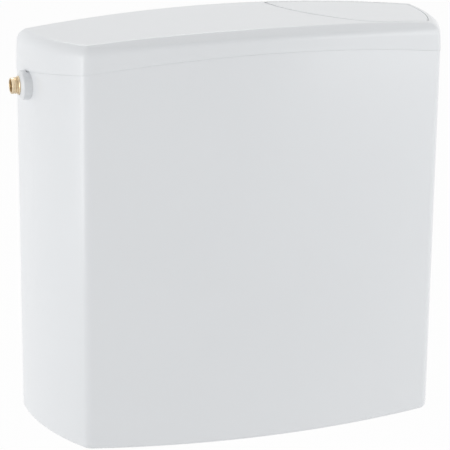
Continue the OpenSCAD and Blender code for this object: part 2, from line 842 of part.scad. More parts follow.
module lock_nut() {
    lug_n = 8;
    lug_w = 6;
    lug_l = 5;
    lug_in = 2;
    lug_edge = 0.5;
    nut_r = outlet_thread_r + lock_nut_ring;
    color(grey) hung() at_outlet(pocket_h - lock_nut_t) difference() {
        union() {
            cylinder(r = nut_r, h = lock_nut_t);
            for (i = [0:lug_n - 1])
                rotate(360 * i / lug_n)
                    translate([nut_r - lug_in, -lug_w / 2, lug_edge])
                        cube([lug_l, lug_w, lock_nut_t - 2 * lug_edge]);
        }
        translate([0, 0, -1])
            cylinder(r = outlet_thread_r + pin_gap, h = lock_nut_t + 2);
    }
}

union_ring = 6;
union_lip = 3;
union_lip_gap = 0.8;
union_room = 4;

module union_nut() {
    grip_n = 12;
    grip_w = 4;
    grip_l = 3;
    grip_in = 1;
    nut_r = outlet_thread_r + union_ring;
    grip_top = pocket_h - lock_nut_t - union_room;
    color(grey) hung() at_outlet() difference() {
        union() {
            translate([0, 0, -nut_below])
                cylinder(r = nut_r, h = nut_below + grip_top);
            for (i = [0:grip_n - 1])
                rotate(360 * i / grip_n)
                    translate([nut_r - grip_in, -grip_w / 2, -nut_below])
                        cube([grip_l, grip_w, nut_below + grip_top]);
        }
        translate([0, 0, -nut_below + union_lip])
            cylinder(r = outlet_thread_r + pin_gap, h = nut_below + grip_top);
        translate([0, 0, -nut_below - 1])
            cylinder(r = pipe_r + union_lip_gap, h = nut_below);
    }
}

pipe_seal_out = 0.3;
pipe_seal_edge = 0.8;

module pipe_seal() {
    low = -nut_below + union_lip;
    outer = outlet_thread_r - pipe_seal_out;
    color(rubber) hung() at_outlet()
        rotate_extrude()
            polygon([
                [socket_r, low], [outer, low], [outer, -pipe_seal_edge],
                [outer - pipe_seal_edge, 0], [socket_r, 0]]);
}

float_lift = 26;
float_seat_z = bell_z + float_lift;
retainer_t = 3;
bell_in = 1;
float_ledge = 2;
float_ledge_t = 3;

module overflow_tube() {
    low = seal_z - retainer_t;
    bell_r = seat_out - bell_in;
    ledge_r = overflow_r + float_ledge;
    ledge_z = float_seat_z - float_ledge_t;
    color(white) hung() at_outlet()
        rotate_extrude()
            polygon([
                [overflow_in, low], [overflow_r, low], [overflow_r, bell_z], [bell_r, bell_z],
                [bell_r, bell_z + bell_t], [overflow_r, bell_z + bell_t], [overflow_r, ledge_z],
                [ledge_r, ledge_z], [ledge_r, float_seat_z], [overflow_r, float_seat_z],
                [overflow_r, overflow_top], [overflow_in, overflow_top]]);
}

seal_over = 1;
retainer_ring = 4;

module flush_seal() {
    color(rubber) hung() at_outlet()
        tube(seat_out + seal_over, overflow_r + pin_gap, seal_z, bell_z);
}

module seal_retainer() {
    color(grey) hung() at_outlet()
        tube(overflow_r + retainer_ring, overflow_r + pin_gap, seal_z - retainer_t, seal_z);
}

module valve_float() {
    low_edge = 3;
    top_edge = 8;
    inner = overflow_r + pin_gap;
    top = float_seat_z + valve_float_h;
    color(inner_white) hung() at_outlet()
        rotate_extrude()
            polygon([
                [inner, float_seat_z], [valve_float_r - low_edge, float_seat_z],
                [valve_float_r, float_seat_z + low_edge], [valve_float_r, top - top_edge],
                [valve_float_r - top_edge, top], [inner, top]]);
}

// Lift rod: a bar across the overflow tube's mouth, a rod, and a cross head over the lever's fork
module lift_rod() {
    head_z = lever_z + move_gap + lift_head_r;
    bar_h = 6;
    bar_w = 6;
    color(blue_grey) hung() at_outlet() {
        translate([-bar_w / 2, -overflow_r, overflow_top])
            cube([bar_w, 2 * overflow_r, bar_h]);
        translate([0, 0, overflow_top + bar_h / 2])
            cylinder(r = lift_rod_r, h = head_z - overflow_top - bar_h / 2);
        translate([0, 0, head_z])
            along_y(lift_head_r, lift_head_l);
    }
}

// Water inlet on the left side, x measured outwards from the middle
washer_room = 0.2;
shoulder_room = 0.3;
collar_lip = 0.5;
shoulder_x = pad_x + collar_l;
thread_x = shoulder_x + nipple_shoulder_l;
neck_x = nut_x - inlet_nut_t;
head_x = neck_x - fill_neck_l;
face_x = head_x - fill_head_l;
cap_x = face_x - fill_cap_t;
nozzle_x = cap_x - nozzle_l;
nipple_reach = 12;
nipple_in = neck_x - nipple_reach;
strainer_l = 12;

module at_inlet(x) {
    translate([-x, -inlet_y, inlet_z])
        children();
}

module inlet_nipple() {
    end_l = thread_x + inlet_thread_l - nipple_in;
    color(brass) hung() difference() {
        union() {
            at_inlet(nipple_in)
                along_x(inlet_thread_r, -end_l);
            at_inlet(shoulder_x)
                along_x(nipple_shoulder_r, -nipple_shoulder_l);
        }
        at_inlet(nipple_in - 1)
            along_x(nipple_bore_r, -end_l - 2);
    }
}

// Collar on the tank's boss, hollow for the washer and for the nipple's shoulder
module inlet_collar() {
    shoulder_seat_r = nipple_shoulder_r + shoulder_room;
    color(white) hung() difference() {
        union() {
            at_inlet(pad_x)
                along_x(collar_r, -collar_l);
            at_inlet(shoulder_x)
                rotate([0, -90, 0])
                    cylinder(r1 = collar_r, r2 = shoulder_seat_r + collar_lip, h = collar_front_l);
        }
        at_inlet(pad_x - 1)
            along_x(inlet_thread_r + pin_gap, -collar_l - 2);
        at_inlet(pad_x - 1)
            along_x(inlet_pad_r + washer_room, -inlet_washer_t - 1);
        at_inlet(shoulder_x)
            along_x(shoulder_seat_r, -collar_front_l - 1);
    }
}

module inlet_washer() {
    color(rubber) hung() difference() {
        at_inlet(pad_x)
            along_x(inlet_pad_r, -inlet_washer_t);
        at_inlet(pad_x - 1)
            along_x(inlet_thread_r + pin_gap, -inlet_washer_t - 2);
    }
}

module inlet_nut() {
    color(grey) hung() difference() {
        at_inlet(nut_x)
            rotate([0, 90, 0])
                cylinder(r = collar_r, h = inlet_nut_t, $fn = 6);
        at_inlet(nut_x + 1)
            along_x(inlet_thread_r + pin_gap, inlet_nut_t + 2);
    }
}

strainer_gap = 0.1;

module inlet_strainer() {
    strainer_r = nipple_bore_r - strainer_gap;
    strainer_t = 1;
    slit_w = 1.5;
    slit_step = 3;
    color(blue_grey) hung() difference() {
        at_inlet(neck_x)
            along_x(strainer_r, strainer_l);
        at_inlet(neck_x + strainer_t)
            along_x(strainer_r - strainer_t, strainer_l);
        for (i = [1:3])
            at_inlet(neck_x - slit_step * i)
                cube([slit_w, 3 * strainer_r, strainer_r], center = true);
    }
}

tube_x = (head_x + face_x) / 2;
chamber_in = 4;
chamber_r = fill_head_r - chamber_in;
chamber_l = 3;
neck_t = 4;
branch_t = 3;
branch_l = 5;
branch_in = 6;
drop_top = inlet_z - fill_head_r + branch_in;

module fill_body() {
    color(white) hung() difference() {
        union() {
            at_inlet(neck_x)
                along_x(inlet_thread_r + neck_t, fill_neck_l + 1);
            at_inlet(head_x)
                along_x(fill_head_r, fill_head_l);
            at_inlet(tube_x)
                translate([0, 0, -fill_head_r - branch_l])
                    cylinder(r = drop_tube_r + branch_t, h = fill_head_r + branch_l);
        }
        at_inlet(neck_x + 1)
            along_x(inlet_thread_r + pin_gap, neck_x - nipple_in + 1);
        at_inlet(nipple_in + 1)
            along_x(nipple_bore_r, nipple_in - face_x + 2);
        at_inlet(face_x + chamber_l)
            along_x(chamber_r, chamber_l + 1);
        at_inlet(tube_x)
            translate([0, 0, -fill_head_r - branch_l - 1])
                cylinder(r = drop_tube_r + pin_gap, h = branch_l + 1 + branch_in);
        at_inlet(tube_x)
            translate([0, 0, -fill_head_r])
                cylinder(r = drop_tube_r - drop_tube_t, h = fill_head_r);
    }
}

diaphragm_t = 2.5;
pilot_r = 0.8;

module diaphragm() {
    color(rubber) hung() difference() {
        at_inlet(face_x + diaphragm_t)
            along_x(chamber_r - strainer_gap, diaphragm_t);
        at_inlet(face_x + chamber_l)
            along_x(pilot_r, chamber_l + 1);
    }
}

// The upright arm of the fill lever stops short of the nozzle when fully turned
fill_arm_t = 6;
fill_arm_over = 4;
nozzle_gap = 0.8;
nozzle_r = 2.5;
fill_swing = fill_arm_t / 2 * cos(fill_turn) + (fill_pivot_drop + fill_arm_over) * sin(fill_turn);
pivot_x = nozzle_x - fill_swing - nozzle_gap;
pivot_z = -fill_pivot_drop;
fill_lever_w = 10;
fill_hub_r = 5;
fill_ear_t = 3;
fill_pin_r = 2;
fill_pin_l = fill_lever_w + 2 * ear_gap + 2 * fill_ear_t + pin_over;

module fill_cap() {
    color(grey) hung() difference() {
        union() {
            at_inlet(face_x)
                along_x(fill_head_r, fill_cap_t);
            at_inlet(cap_x + 1)
                along_x(nozzle_r, nozzle_l + 1);
            for (s = [-1, 1])
                at_inlet(pivot_x)
                    translate([0, s * (fill_lever_w / 2 + ear_gap + fill_ear_t / 2), pivot_z]) {
                        along_y(fill_hub_r, fill_ear_t);
                        translate([-(cap_x - pivot_x) - 1, -fill_ear_t / 2, -fill_hub_r])
                            cube([cap_x - pivot_x + 1, fill_ear_t, 2 * fill_hub_r]);
                    }
        }
        at_inlet(pivot_x)
            translate([0, 0, pivot_z])
                along_y(fill_pin_r + pin_gap / 2, fill_pin_l + 2);
        at_inlet(face_x + 1)
            along_x(pilot_r, fill_cap_t + nozzle_l + 2);
    }
}

// Bell crank: an upright arm that closes the nozzle and a level arm that the float rod lifts
rod_tip_r = 3.5;
fill_level_t = 5;
fill_level_over = 6;

module fill_lever() {
    color(blue_grey) hung() at_inlet(pivot_x) translate([0, 0, pivot_z]) difference() {
        union() {
            along_y(fill_hub_r, fill_lever_w);
            translate([-fill_arm_t / 2, -fill_lever_w / 2, 0])
                cube([fill_arm_t, fill_lever_w, fill_pivot_drop + fill_arm_over]);
            translate([0, -fill_lever_w / 2, 0])
                cube([fill_arm + fill_level_over, fill_lever_w, fill_level_t]);
        }
        along_y(fill_pin_r + pin_gap, fill_lever_w + 2);
    }
}

module fill_lever_pin() {
    color(steel) hung() at_inlet(pivot_x)
        translate([0, 0, pivot_z])
            along_y(fill_pin_r, fill_pin_l);
}

float_top = inlet_z - float_drop;
float_low = float_top - float_h;
float_room = 5;
float_back = liner_in + float_room;
float_beside = 17;
float_left = tube_x + float_beside;
float_bore_gap = 0.3;
stop_over = 5;
stop_t = 4;

module drop_tube() {
    color(white) hung()
        translate([-tube_x, -inlet_y, 0]) difference() {
            union() {
                translate([0, 0, drop_end])
                    cylinder(r = drop_tube_r, h = drop_top - drop_end - 1);
                translate([0, 0, float_low - move_gap - stop_t])
                    cylinder(r = drop_tube_r + stop_over, h = stop_t);
            }
            translate([0, 0, drop_end - 1])
                cylinder(r = drop_tube_r - drop_tube_t, h = drop_top - drop_end + 2);
        }
}

module float() {
    float_corner = 8;
    color(inner_white) hung() difference() {
        translate([-float_left, -float_back - float_d, float_low])
            union() {
                translate([float_corner, 0, 0])
                    cube([float_l - 2 * float_corner, float_d, float_h]);
                translate([0, float_corner, 0])
                    cube([float_l, float_d - 2 * float_corner, float_h]);
                for (x = [float_corner, float_l - float_corner], y = [float_corner, float_d - float_corner])
                    translate([x, y, 0])
                        cylinder(r = float_corner, h = float_h);
            }
        translate([-tube_x, -inlet_y, float_low - 1])
            cylinder(r = drop_tube_r + move_gap + float_bore_gap, h = float_h + 2);
    }
}

module float_rod() {
    tip_z = inlet_z + pivot_z - move_gap - rod_tip_r;
    foot_t = 3;
    color(blue_grey) hung()
        translate([-pivot_x + fill_arm, -inlet_y, 0]) {
            translate([0, 0, float_top])
                cylinder(r = float_rod_r, h = tip_z - float_top);
            translate([0, 0, float_top])
                cylinder(r = 2 * float_rod_r, h = foot_t);
            translate([0, 0, tip_z])
                sphere(r = rod_tip_r);
        }
}

// Plug in the unused inlet on the right side
plug_head_t = 3;
plug_over = 2;

module side_plug() {
    color(white) hung()
        translate([pad_x, -inlet_y, inlet_z]) {
            along_x(inlet_pad_r, plug_head_t);
            along_x(inlet_thread_r, nut_x - inlet_nut_t - plug_over - pad_x);
        }
}

module side_plug_nut() {
    color(grey) hung() difference() {
        translate([nut_x, -inlet_y, inlet_z])
            rotate([0, -90, 0])
                cylinder(r = collar_r, h = inlet_nut_t, $fn = 6);
        translate([nut_x + 1, -inlet_y, inlet_z])
            along_x(inlet_thread_r + pin_gap, -inlet_nut_t - 2);
    }
}

tank();
insulation_liner();
lid();
flush_key();
key_tray();
key_hinge_pin();
key_spring();
tray_screws();
lift_lever();
lever_pin();
lever_tower();
valve_cage();
outlet_basin();
basin_gasket();
lock_nut();
overflow_tube();
flush_seal();
seal_retainer();
valve_float();
lift_rod();
union_nut();
pipe_seal();
inlet_nipple();
inlet_collar();
inlet_washer();
inlet_nut();
inlet_strainer();
fill_body();
diaphragm();
fill_cap();
fill_lever();
fill_lever_pin();
drop_tube();
float();
float_rod();
side_plug();
side_plug_nut();
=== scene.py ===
"""Looks of a wall-hung cistern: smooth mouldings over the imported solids, finishes, studio and camera."""
import json
import math

import bmesh
import bpy
from mathutils import Matrix, Vector


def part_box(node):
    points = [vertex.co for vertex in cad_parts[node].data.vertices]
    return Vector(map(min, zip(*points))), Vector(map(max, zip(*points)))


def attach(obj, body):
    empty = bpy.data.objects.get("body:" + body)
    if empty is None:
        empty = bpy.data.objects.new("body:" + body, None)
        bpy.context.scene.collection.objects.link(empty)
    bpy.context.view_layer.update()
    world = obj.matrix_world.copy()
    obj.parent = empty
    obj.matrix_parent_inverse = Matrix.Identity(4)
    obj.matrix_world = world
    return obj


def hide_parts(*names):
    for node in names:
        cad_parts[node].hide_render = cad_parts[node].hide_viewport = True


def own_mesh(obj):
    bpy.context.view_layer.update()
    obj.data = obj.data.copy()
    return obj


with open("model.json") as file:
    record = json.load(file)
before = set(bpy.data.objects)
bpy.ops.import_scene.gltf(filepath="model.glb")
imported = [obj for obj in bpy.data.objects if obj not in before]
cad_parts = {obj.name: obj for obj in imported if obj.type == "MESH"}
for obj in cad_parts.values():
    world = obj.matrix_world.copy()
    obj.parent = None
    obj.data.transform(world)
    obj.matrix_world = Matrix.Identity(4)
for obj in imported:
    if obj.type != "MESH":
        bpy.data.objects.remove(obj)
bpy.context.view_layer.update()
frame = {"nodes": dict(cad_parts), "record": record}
nodes = frame["nodes"]

MM = 0.001

# Housing, measured from the tank's underside and the wall
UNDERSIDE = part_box("tank")[0].z
HEIGHT = 420 * MM
HALF_WIDTH = 214 * MM
HALF_FRONT = 182.5 * MM
SIDE_DEPTH = 140 * MM
FRONT_BOW = 25 * MM
SIDE_BOW = 10 * MM
CORNER_R = 12 * MM
FULL_DEPTH = SIDE_DEPTH + FRONT_BOW
FRONT_LEAN = 8 * MM
FOOT_R = 4 * MM
WALL = 3 * MM
FLOOR = 3.5 * MM

# Lid and seam
SEAM_MID = 398 * MM
SEAM_CORNER_DROP = 15 * MM
SEAM_WALL_DROP = 22 * MM
SEAM_GAP = 0.15 * MM
TANK_LIP = 0.15 * MM
LID_LIP = 0.15 * MM
CROWN_DROP = 10 * MM
CROWN_FALL = 4 * MM
LID_EDGE_R = 12 * MM
LID_WALL = 2.6 * MM
LID_BACK = 0.4 * MM
LID_OVERHANG = 0.6 * MM
LID_FLARE = 0.9 * MM
RIM_INSET = 3.7 * MM
RIM_HEIGHT = 8 * MM
RIM_EDGE = 0.6 * MM
SCREW_HEAD_R = 3.2 * MM
screw_low, screw_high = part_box("tray_screws")
LID_BOSSES = (
    (screw_low.x + SCREW_HEAD_R, screw_high.y - SCREW_HEAD_R),
    (screw_high.x - SCREW_HEAD_R, screw_low.y + SCREW_HEAD_R))
LID_BOSS_R = 4 * MM
LID_BOSS_Z = UNDERSIDE + 389.03 * MM
LID_HOLE_R = 1.45 * MM
LID_HOLE_L = 11 * MM

# Band round the lid's top, at the corners and in the middle of the front: its round, then its slope
CORNER_BAND = {"radius": 12.5 * MM, "tilt": math.radians(30), "slope": 2 * MM}
MIDDLE_BAND = {"radius": 7 * MM, "tilt": math.radians(28), "slope": 10 * MM}
BAND_EDGE = 1.2 * MM
BAND_TOP = 4 * MM
BAND_POWER = 4
BAND_STEPS = 10

# Flush key, with the post, rib, spring peg and hinge lugs under it
KEY_ARC_X = 220 * MM
KEY_ARC_R = 177 * MM
KEY_RIM = 14 * MM
KEY_FRONT_RIM = 18 * MM
KEY_ROUND_LEFT = 40 * MM
KEY_ROUND_RIGHT = 10 * MM
KEY_THICK = 3 * MM
KEY_GAP = 1.2 * MM
KEY_EDGE_R = 0.8 * MM
KEY_LEFT_LESS = 0.8 * MM
KEY_RIGHT_MORE = 0.8 * MM
KEY_MIDDLE = (126 * MM, -78 * MM, 0)
OPENING_EDGE = 0.5 * MM
OPENING_REACH = 30 * MM
POST_X, POST_Y, POST_Z = 78 * MM, -78 * MM, UNDERSIDE + 371.3 * MM
POST_R = 5 * MM
RIB_T = 3 * MM
RIB_L = 18 * MM
RIB_Z = UNDERSIDE + 400 * MM
RIB_LOWER = 0.5 * MM
PEG_X, PEG_Y = 140 * MM, -100 * MM
PEG_R = 3.9 * MM
PEG_H = 4 * MM
PEG_EDGE = 0.8 * MM
HINGE_PIN_L = 20.65 * MM
pin_low, pin_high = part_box("key_hinge_pin")
LUG_XS = pin_low.x + HINGE_PIN_L / 2, pin_high.x - HINGE_PIN_L / 2
LUG_Y, LUG_Z = -20 * MM, UNDERSIDE + 398 * MM
LUG_R = 5 * MM
LUG_W = 8 * MM
LUG_HOLE_R = 2.05 * MM

# Return spring of the key
WIRE_R = 0.6 * MM
COIL_R = 5.5 * MM
CURLS = 5
CURL_STEPS = 36
WIRE_SIDES = 12

# Outlet pocket, wall screws and inlets of the tank
OUTLET_Y = -78 * MM
OUTLET_HOLE_R = 27.27 * MM
POCKET_R = 46 * MM
POCKET_H = 26 * MM
POCKET_MOUTH_EDGE = 1.2 * MM
POCKET_INNER_EDGE = 1 * MM
PLATEAU_EDGE = 1.5 * MM
SCREW_X = 75 * MM
SCREW_Z = UNDERSIDE + 336 * MM
SCREW_HOLE_R = 4.5 * MM
SCREW_HOLE_EDGE = 1 * MM
SCREW_BOSS_R = 12 * MM
SCREW_BOSS_END = WALL + 9 * MM
SCREW_BOSS_EDGE = 1 * MM
INLET_HOLE_R = 8.73 * MM
INLET_BOSS_R = 14.4 * MM
INLET_BOSS_L = 4.295 * MM
SEAM_ROOM = 0.8 * MM
washer_low, washer_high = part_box("inlet_washer")
INLET_Y = (washer_low.y + washer_high.y) / 2
INLET_Z = (washer_low.z + washer_high.z) / 2
PAD_X = -washer_high.x
PAD_R = (washer_high.z - washer_low.z) / 2
PAD_L = PAD_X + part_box("inlet_nut")[0].x

# Brass nipple, its collar, and the plug of the unused inlet
THREAD_R = 8.33 * MM
THREAD_CORE_R = 7.45 * MM
THREAD_PITCH = 1.337 * MM
THREAD_L = 6.5 * MM
THREAD_TURNS = 2.1
THREAD_STEPS = 48
THREAD_FADES = 3
THREAD_SUNK = 0.1 * MM
THREAD_START = 0.45 * MM
TOOTH_ROOT_R = THREAD_CORE_R - 0.15 * MM
TOOTH_CREST_R = THREAD_R - 0.02 * MM
TOOTH_HALF_ROOT = 0.56 * MM
TOOTH_HALF_CREST = 0.1 * MM
SHOULDER_R = 9.2 * MM
SHOULDER_L = 4 * MM
SHOULDER_FRONT_EDGE = 0.5 * MM
SHOULDER_BACK_EDGE = 0.3 * MM
SHANK_EDGE = 0.6 * MM
LEAD_R = 8 * MM
LEAD_L = 2.6 * MM
LEAD_FRONT_EDGE = 0.7 * MM
LEAD_BACK_EDGE = 0.4 * MM
MOUTH_R = 6.4 * MM
MOUTH_L = 3 * MM
MOUTH_EDGE = 0.3 * MM
MOUTH_TAPER = 0.8 * MM
NIPPLE_BORE_R = 5 * MM
COLLAR_R = 14.5 * MM
COLLAR_L = 4.5 * MM
COLLAR_BORE_R = 8.38 * MM
COLLAR_EDGE = 1 * MM
COLLAR_LIP = 0.5 * MM
COLLAR_LIP_EDGE = 0.2 * MM
SHOULDER_SEAT_R = 9.5 * MM
WASHER_SEAT_R = 12.2 * MM
PLUG_HEAD_T = 3 * MM
PLUG_EDGE = 1 * MM
COIN_SLOT_W = 1.8 * MM
COIN_SLOT_L = 15 * MM
COIN_SLOT_DEEP = 1.4 * MM

# Limits for cuts, merges and smoothing, and how far a cutter passes a face
PAST = 1 * MM
SMALLEST_ROUND = 1 * MM
NEAR_TOP = 1 * MM
MERGE_WITHIN = 0.001 * MM
CUT_WITHIN = 0.0001 * MM
SHARP_FOLD = 1.0
SMOOTH_FOLD = math.radians(35)

# Steps along a plan line, round a turned piece and over rounded edges
SIDE_STEPS = 20
CORNER_STEPS = 12
FRONT_STEPS = 56
BACK_STEPS = 24
TURN_STEPS = 72
ROUND_STEPS = 6
EDGE_STEPS = 4
LIP_STEPS = 3
TIP_STEPS = 10
CLOSING_SHARES = [0.94, 0.86, 0.76, 0.65, 0.53, 0.4, 0.27, 0.14, 0.05]


def select_none():
    """Object mode, with nothing selected."""
    if bpy.context.mode != "OBJECT":
        bpy.ops.object.mode_set(mode="OBJECT")
    bpy.ops.object.select_all(action="DESELECT")


def select_only(piece):
    """Object mode, with this piece selected and active and nothing else."""
    select_none()
    piece.select_set(True)
    bpy.context.view_layer.objects.active = piece


def begin(name):
    """An empty piece in edit mode."""
    select_none()
    bpy.ops.mesh.primitive_plane_add()
    piece = bpy.context.object
    piece.name = name
    bpy.ops.object.mode_set(mode="EDIT")
    bpy.ops.mesh.select_mode(type="VERT")
    bpy.ops.mesh.delete(type="VERT")
    return piece


def add_point(place):
    """One selected point in the piece that is being edited."""
    bpy.ops.mesh.select_all(action="DESELECT")
    bpy.ops.mesh.primitive_plane_add(size=MM, location=place)
    bpy.ops.mesh.merge(type="CENTER")


def draw_line(points):
    """A line of (radius, rise) points in the piece that is being edited, drawn by extruding one point."""
    (r, z), *others = points
    add_point((r, 0, z))
    for r_next, z_next in others:
        bpy.ops.mesh.extrude_verts_indiv()
        bpy.ops.transform.translate(value=(r_next - r, 0, z_next - z))
        r, z = r_next, z_next
    bpy.ops.mesh.select_all(action="SELECT")


def apply_modifier(piece, kind, **settings):
    select_only(piece)
    modifier = piece.modifiers.new(kind.title(), kind)
    for name, value in settings.items():
        setattr(modifier, name, value)
    bpy.ops.object.modifier_apply(modifier=modifier.name)


def set_down(piece, place, axis=(0, 0, 1)):
    """Turns a piece's upright axis to a direction and moves its foot to a place, all in the mesh."""
    select_only(piece)
    turn = Vector(axis).to_track_quat("Z", "Y").to_matrix().to_4x4()
    piece.matrix_world = Matrix.Translation(place) @ turn
    bpy.ops.object.transform_apply(location=True, rotation=True, scale=True)
    return piece


def smooth(piece):
    select_only(piece)
    bpy.ops.object.shade_smooth_by_angle(angle=SMOOTH_FOLD)


def turned(name, outline, place=(0, 0, 0), axis=(0, 0, 1)):
    """A round piece: an outline of (radius, rise) points spun about its axis."""
    piece = begin(name)
    draw_line(outline)
    bpy.ops.mesh.spin(steps=TURN_STEPS, angle=2 * math.pi, center=(0, 0, 0), axis=(0, 0, 1))
    bpy.ops.mesh.select_all(action="SELECT")
    bpy.ops.mesh.remove_doubles(threshold=MERGE_WITHIN)
    bpy.ops.mesh.normals_make_consistent(inside=False)
    return set_down(piece, place, axis)


def coiled(name, section, pitch, turns, steps):
    """A closed section of (radius, rise) points wound upwards, with its ends filled."""
    piece = begin(name)
    draw_line(section)
    bpy.ops.mesh.edge_face_add()
    bpy.ops.mesh.delete(type="ONLY_FACE")
    count = round(steps * turns)
    apply_modifier(
        piece, "SCREW", axis="Z", angle=2 * math.pi * turns, screw_offset=pitch * turns, iterations=1,
        steps=count, render_steps=count)
    bpy.ops.object.mode_set(mode="EDIT")
    bpy.ops.mesh.select_all(action="SELECT")
    bpy.ops.mesh.fill_holes(sides=0)
    bpy.ops.mesh.select_all(action="SELECT")
    bpy.ops.mesh.normals_make_consistent(inside=False)
    bpy.ops.object.mode_set(mode="OBJECT")
    return piece


def block(name, low, high):
    """A block between two corners, a start for cuts and joined details."""
    select_none()
    low, high = Vector(low), Vector(high)
    bpy.ops.mesh.primitive_cube_add(size=1, location=(low + high) / 2, scale=high - low)
    piece = bpy.context.object
    piece.name = name
    bpy.ops.object.transform_apply(location=True, rotation=True, scale=True)
    return piece


def combine(piece, operation, *tools):
    """Adds or cuts tool pieces, which are then gone."""
    select_only(tools[0])
    for tool in tools[1:]:
        tool.select_set(True)
    if len(tools) > 1:
        bpy.ops.object.join()
    apply_modifier(piece, "BOOLEAN", operation=operation, object=tools[0], solver="EXACT")
    bpy.data.objects.remove(tools[0])


def bowed(start, end, bow):
    """Circle of a side that swells by bow between two points."""
    chord = end - start
    radius = chord.length_squared / (8 * bow) + bow / 2
    outward = Vector((-chord.y, chord.x)).normalized()
    return (start + end) / 2 - (radius - bow) * outward, radius


def crossing(first, first_r, second, second_r, side):
    """One of the two points where two circles cross."""
    way = second - first
    unit = way.normalized()
    along = (first_r ** 2 - second_r ** 2 + way.length_squared) / (2 * way.length)
    across = math.sqrt(max(0, first_r ** 2 - along ** 2))
    return first + along * unit + side * across * Vector((-unit.y, unit.x))


def heading(centre, point):
    return math.atan2(point.y - centre.y, point.x - centre.x)


class Plan:
    """Plan line of three bowed sides and a straight back, with rounded front corners."""

    def __init__(self, left, front, right, round_left, round_right):
        self.left, self.front, self.right = left, front, right
        self.round_left, self.round_right = round_left, round_right

    def arcs(self, inset, back):
        """The start, and each arc's (centre, first angle, last angle, steps) from the right rear round."""
        (left, left_r), (front, front_r), (right, right_r) = self.left, self.front, self.right
        small_r = max(self.round_right - inset, SMALLEST_ROUND)
        small_l = max(self.round_left - inset, SMALLEST_ROUND)
        corner_r = crossing(right, right_r - inset - small_r, front, front_r - inset - small_r, -1)
        corner_l = crossing(left, left_r - inset - small_l, front, front_r - inset - small_l, 1)
        from_back = math.asin((back - right.y) / (right_r - inset))
        to_back = -math.pi - math.asin((back - left.y) / (left_r - inset))
        right_end, front_start = heading(right, corner_r), heading(front, corner_r)
        front_end, left_start = heading(front, corner_l), heading(left, corner_l)
        if left_start > 0:
            left_start -= 2 * math.pi
        start = right + (right_r - inset) * Vector((math.cos(from_back), math.sin(from_back)))
        return start, [
            (right, from_back, right_end, SIDE_STEPS),
            (corner_r, right_end, front_start, CORNER_STEPS),
            (front, front_start, front_end, FRONT_STEPS),
            (corner_l, front_end, left_start, CORNER_STEPS),
            (left, left_start, to_back, SIDE_STEPS)]


REAR_RIGHT = Vector((HALF_WIDTH, 0))
FRONT_RIGHT = Vector((HALF_FRONT, -SIDE_DEPTH))
FRONT_LEFT = Vector((-HALF_FRONT, -SIDE_DEPTH))
REAR_LEFT = Vector((-HALF_WIDTH, 0))
RIGHT_SIDE = bowed(REAR_RIGHT, FRONT_RIGHT, SIDE_BOW)
FRONT_SIDE = bowed(FRONT_RIGHT, FRONT_LEFT, FRONT_BOW)
LEFT_SIDE = bowed(FRONT_LEFT, REAR_LEFT, SIDE_BOW)
housing_plan = Plan(LEFT_SIDE, FRONT_SIDE, RIGHT_SIDE, CORNER_R, CORNER_R)
KEY_LEFT = Vector((KEY_ARC_X, 0)), KEY_ARC_R
KEY_FRONT = FRONT_SIDE[0], FRONT_SIDE[1] - KEY_FRONT_RIM
KEY_RIGHT = RIGHT_SIDE[0], RIGHT_SIDE[1] - KEY_RIM
opening_plan = Plan(KEY_LEFT, KEY_FRONT, KEY_RIGHT, KEY_ROUND_LEFT, KEY_ROUND_RIGHT)
key_plan = Plan(
    (KEY_LEFT[0], KEY_LEFT[1] - KEY_LEFT_LESS), KEY_FRONT, (KEY_RIGHT[0], KEY_RIGHT[1] + KEY_RIGHT_MORE),
    KEY_ROUND_LEFT, KEY_ROUND_RIGHT)


def seam(x, y):
    """Height of the seam, arched across the front and falling along the sides."""
    across = min(1, (x / HALF_FRONT) ** 2)
    along = min(1, max(0, (y + SIDE_DEPTH) / SIDE_DEPTH))
    return UNDERSIDE + SEAM_MID - SEAM_CORNER_DROP * across - SEAM_WALL_DROP * along


def crown(x, y):
    """Height of the crowned top."""
    fall = CROWN_FALL * max(0, (y + SIDE_DEPTH) / SIDE_DEPTH)
    return UNDERSIDE + HEIGHT - CROWN_DROP * (x / HALF_FRONT) ** 2 - fall


def lean(height):
    """Share of the depth at a height above the underside, because the front leans back."""
    return 1 - FRONT_LEAN / FULL_DEPTH * max(0, 1 - height / SEAM_MID)


def level(height):
    return lambda x, y: (y * lean(height), UNDERSIDE + height)


def on_seam(rise):
    return lambda x, y: (y, seam(x, y) + rise)


def on_crown(rise):
    return lambda x, y: (y, crown(x, y) + rise)


def draw_ring(piece, plan, inset, back, place, number):
    """One closed ring of the piece: the plan line drawn by spins, then set to its height."""
    start, arcs = plan.arcs(inset, back)
    add_point((*start, 0))
    for centre, first, last, steps in arcs:
        bpy.ops.mesh.spin(steps=steps, angle=first - last, center=(*centre, 0), axis=(0, 0, 1))
    mesh = bmesh.from_edit_mesh(piece.data)
    for v in mesh.verts:
        v.select = not v.hide and len(v.link_edges) == 1
    mesh.select_flush_mode()
    bpy.ops.mesh.edge_face_add()
    bpy.ops.mesh.subdivide(number_cuts=BACK_STEPS - 1)
    mesh = bmesh.from_edit_mesh(piece.data)
    ring = mesh.verts.layers.int.get("ring") or mesh.verts.layers.int.new("ring")
    for v in mesh.verts:
        if not v.hide:
            v.co.y, v.co.z = place(v.co.x, v.co.y)
            v[ring] = number
    bpy.ops.mesh.select_all(action="SELECT")
    bpy.ops.mesh.hide()


def bridge_rings(piece, count):
    """Faces between each ring and the next."""
    bpy.ops.mesh.reveal(select=False)
    bpy.ops.mesh.select_mode(type="EDGE")
    for number in range(count - 1):
        bpy.ops.mesh.select_all(action="DESELECT")
        mesh = bmesh.from_edit_mesh(piece.data)
        ring = mesh.verts.layers.int["ring"]
        for e in mesh.edges:
            a, b = e.verts[0][ring], e.verts[1][ring]
            e.select = a == b and a in (number, number + 1)
        mesh.select_flush_mode()
        bpy.ops.mesh.bridge_edge_loops()


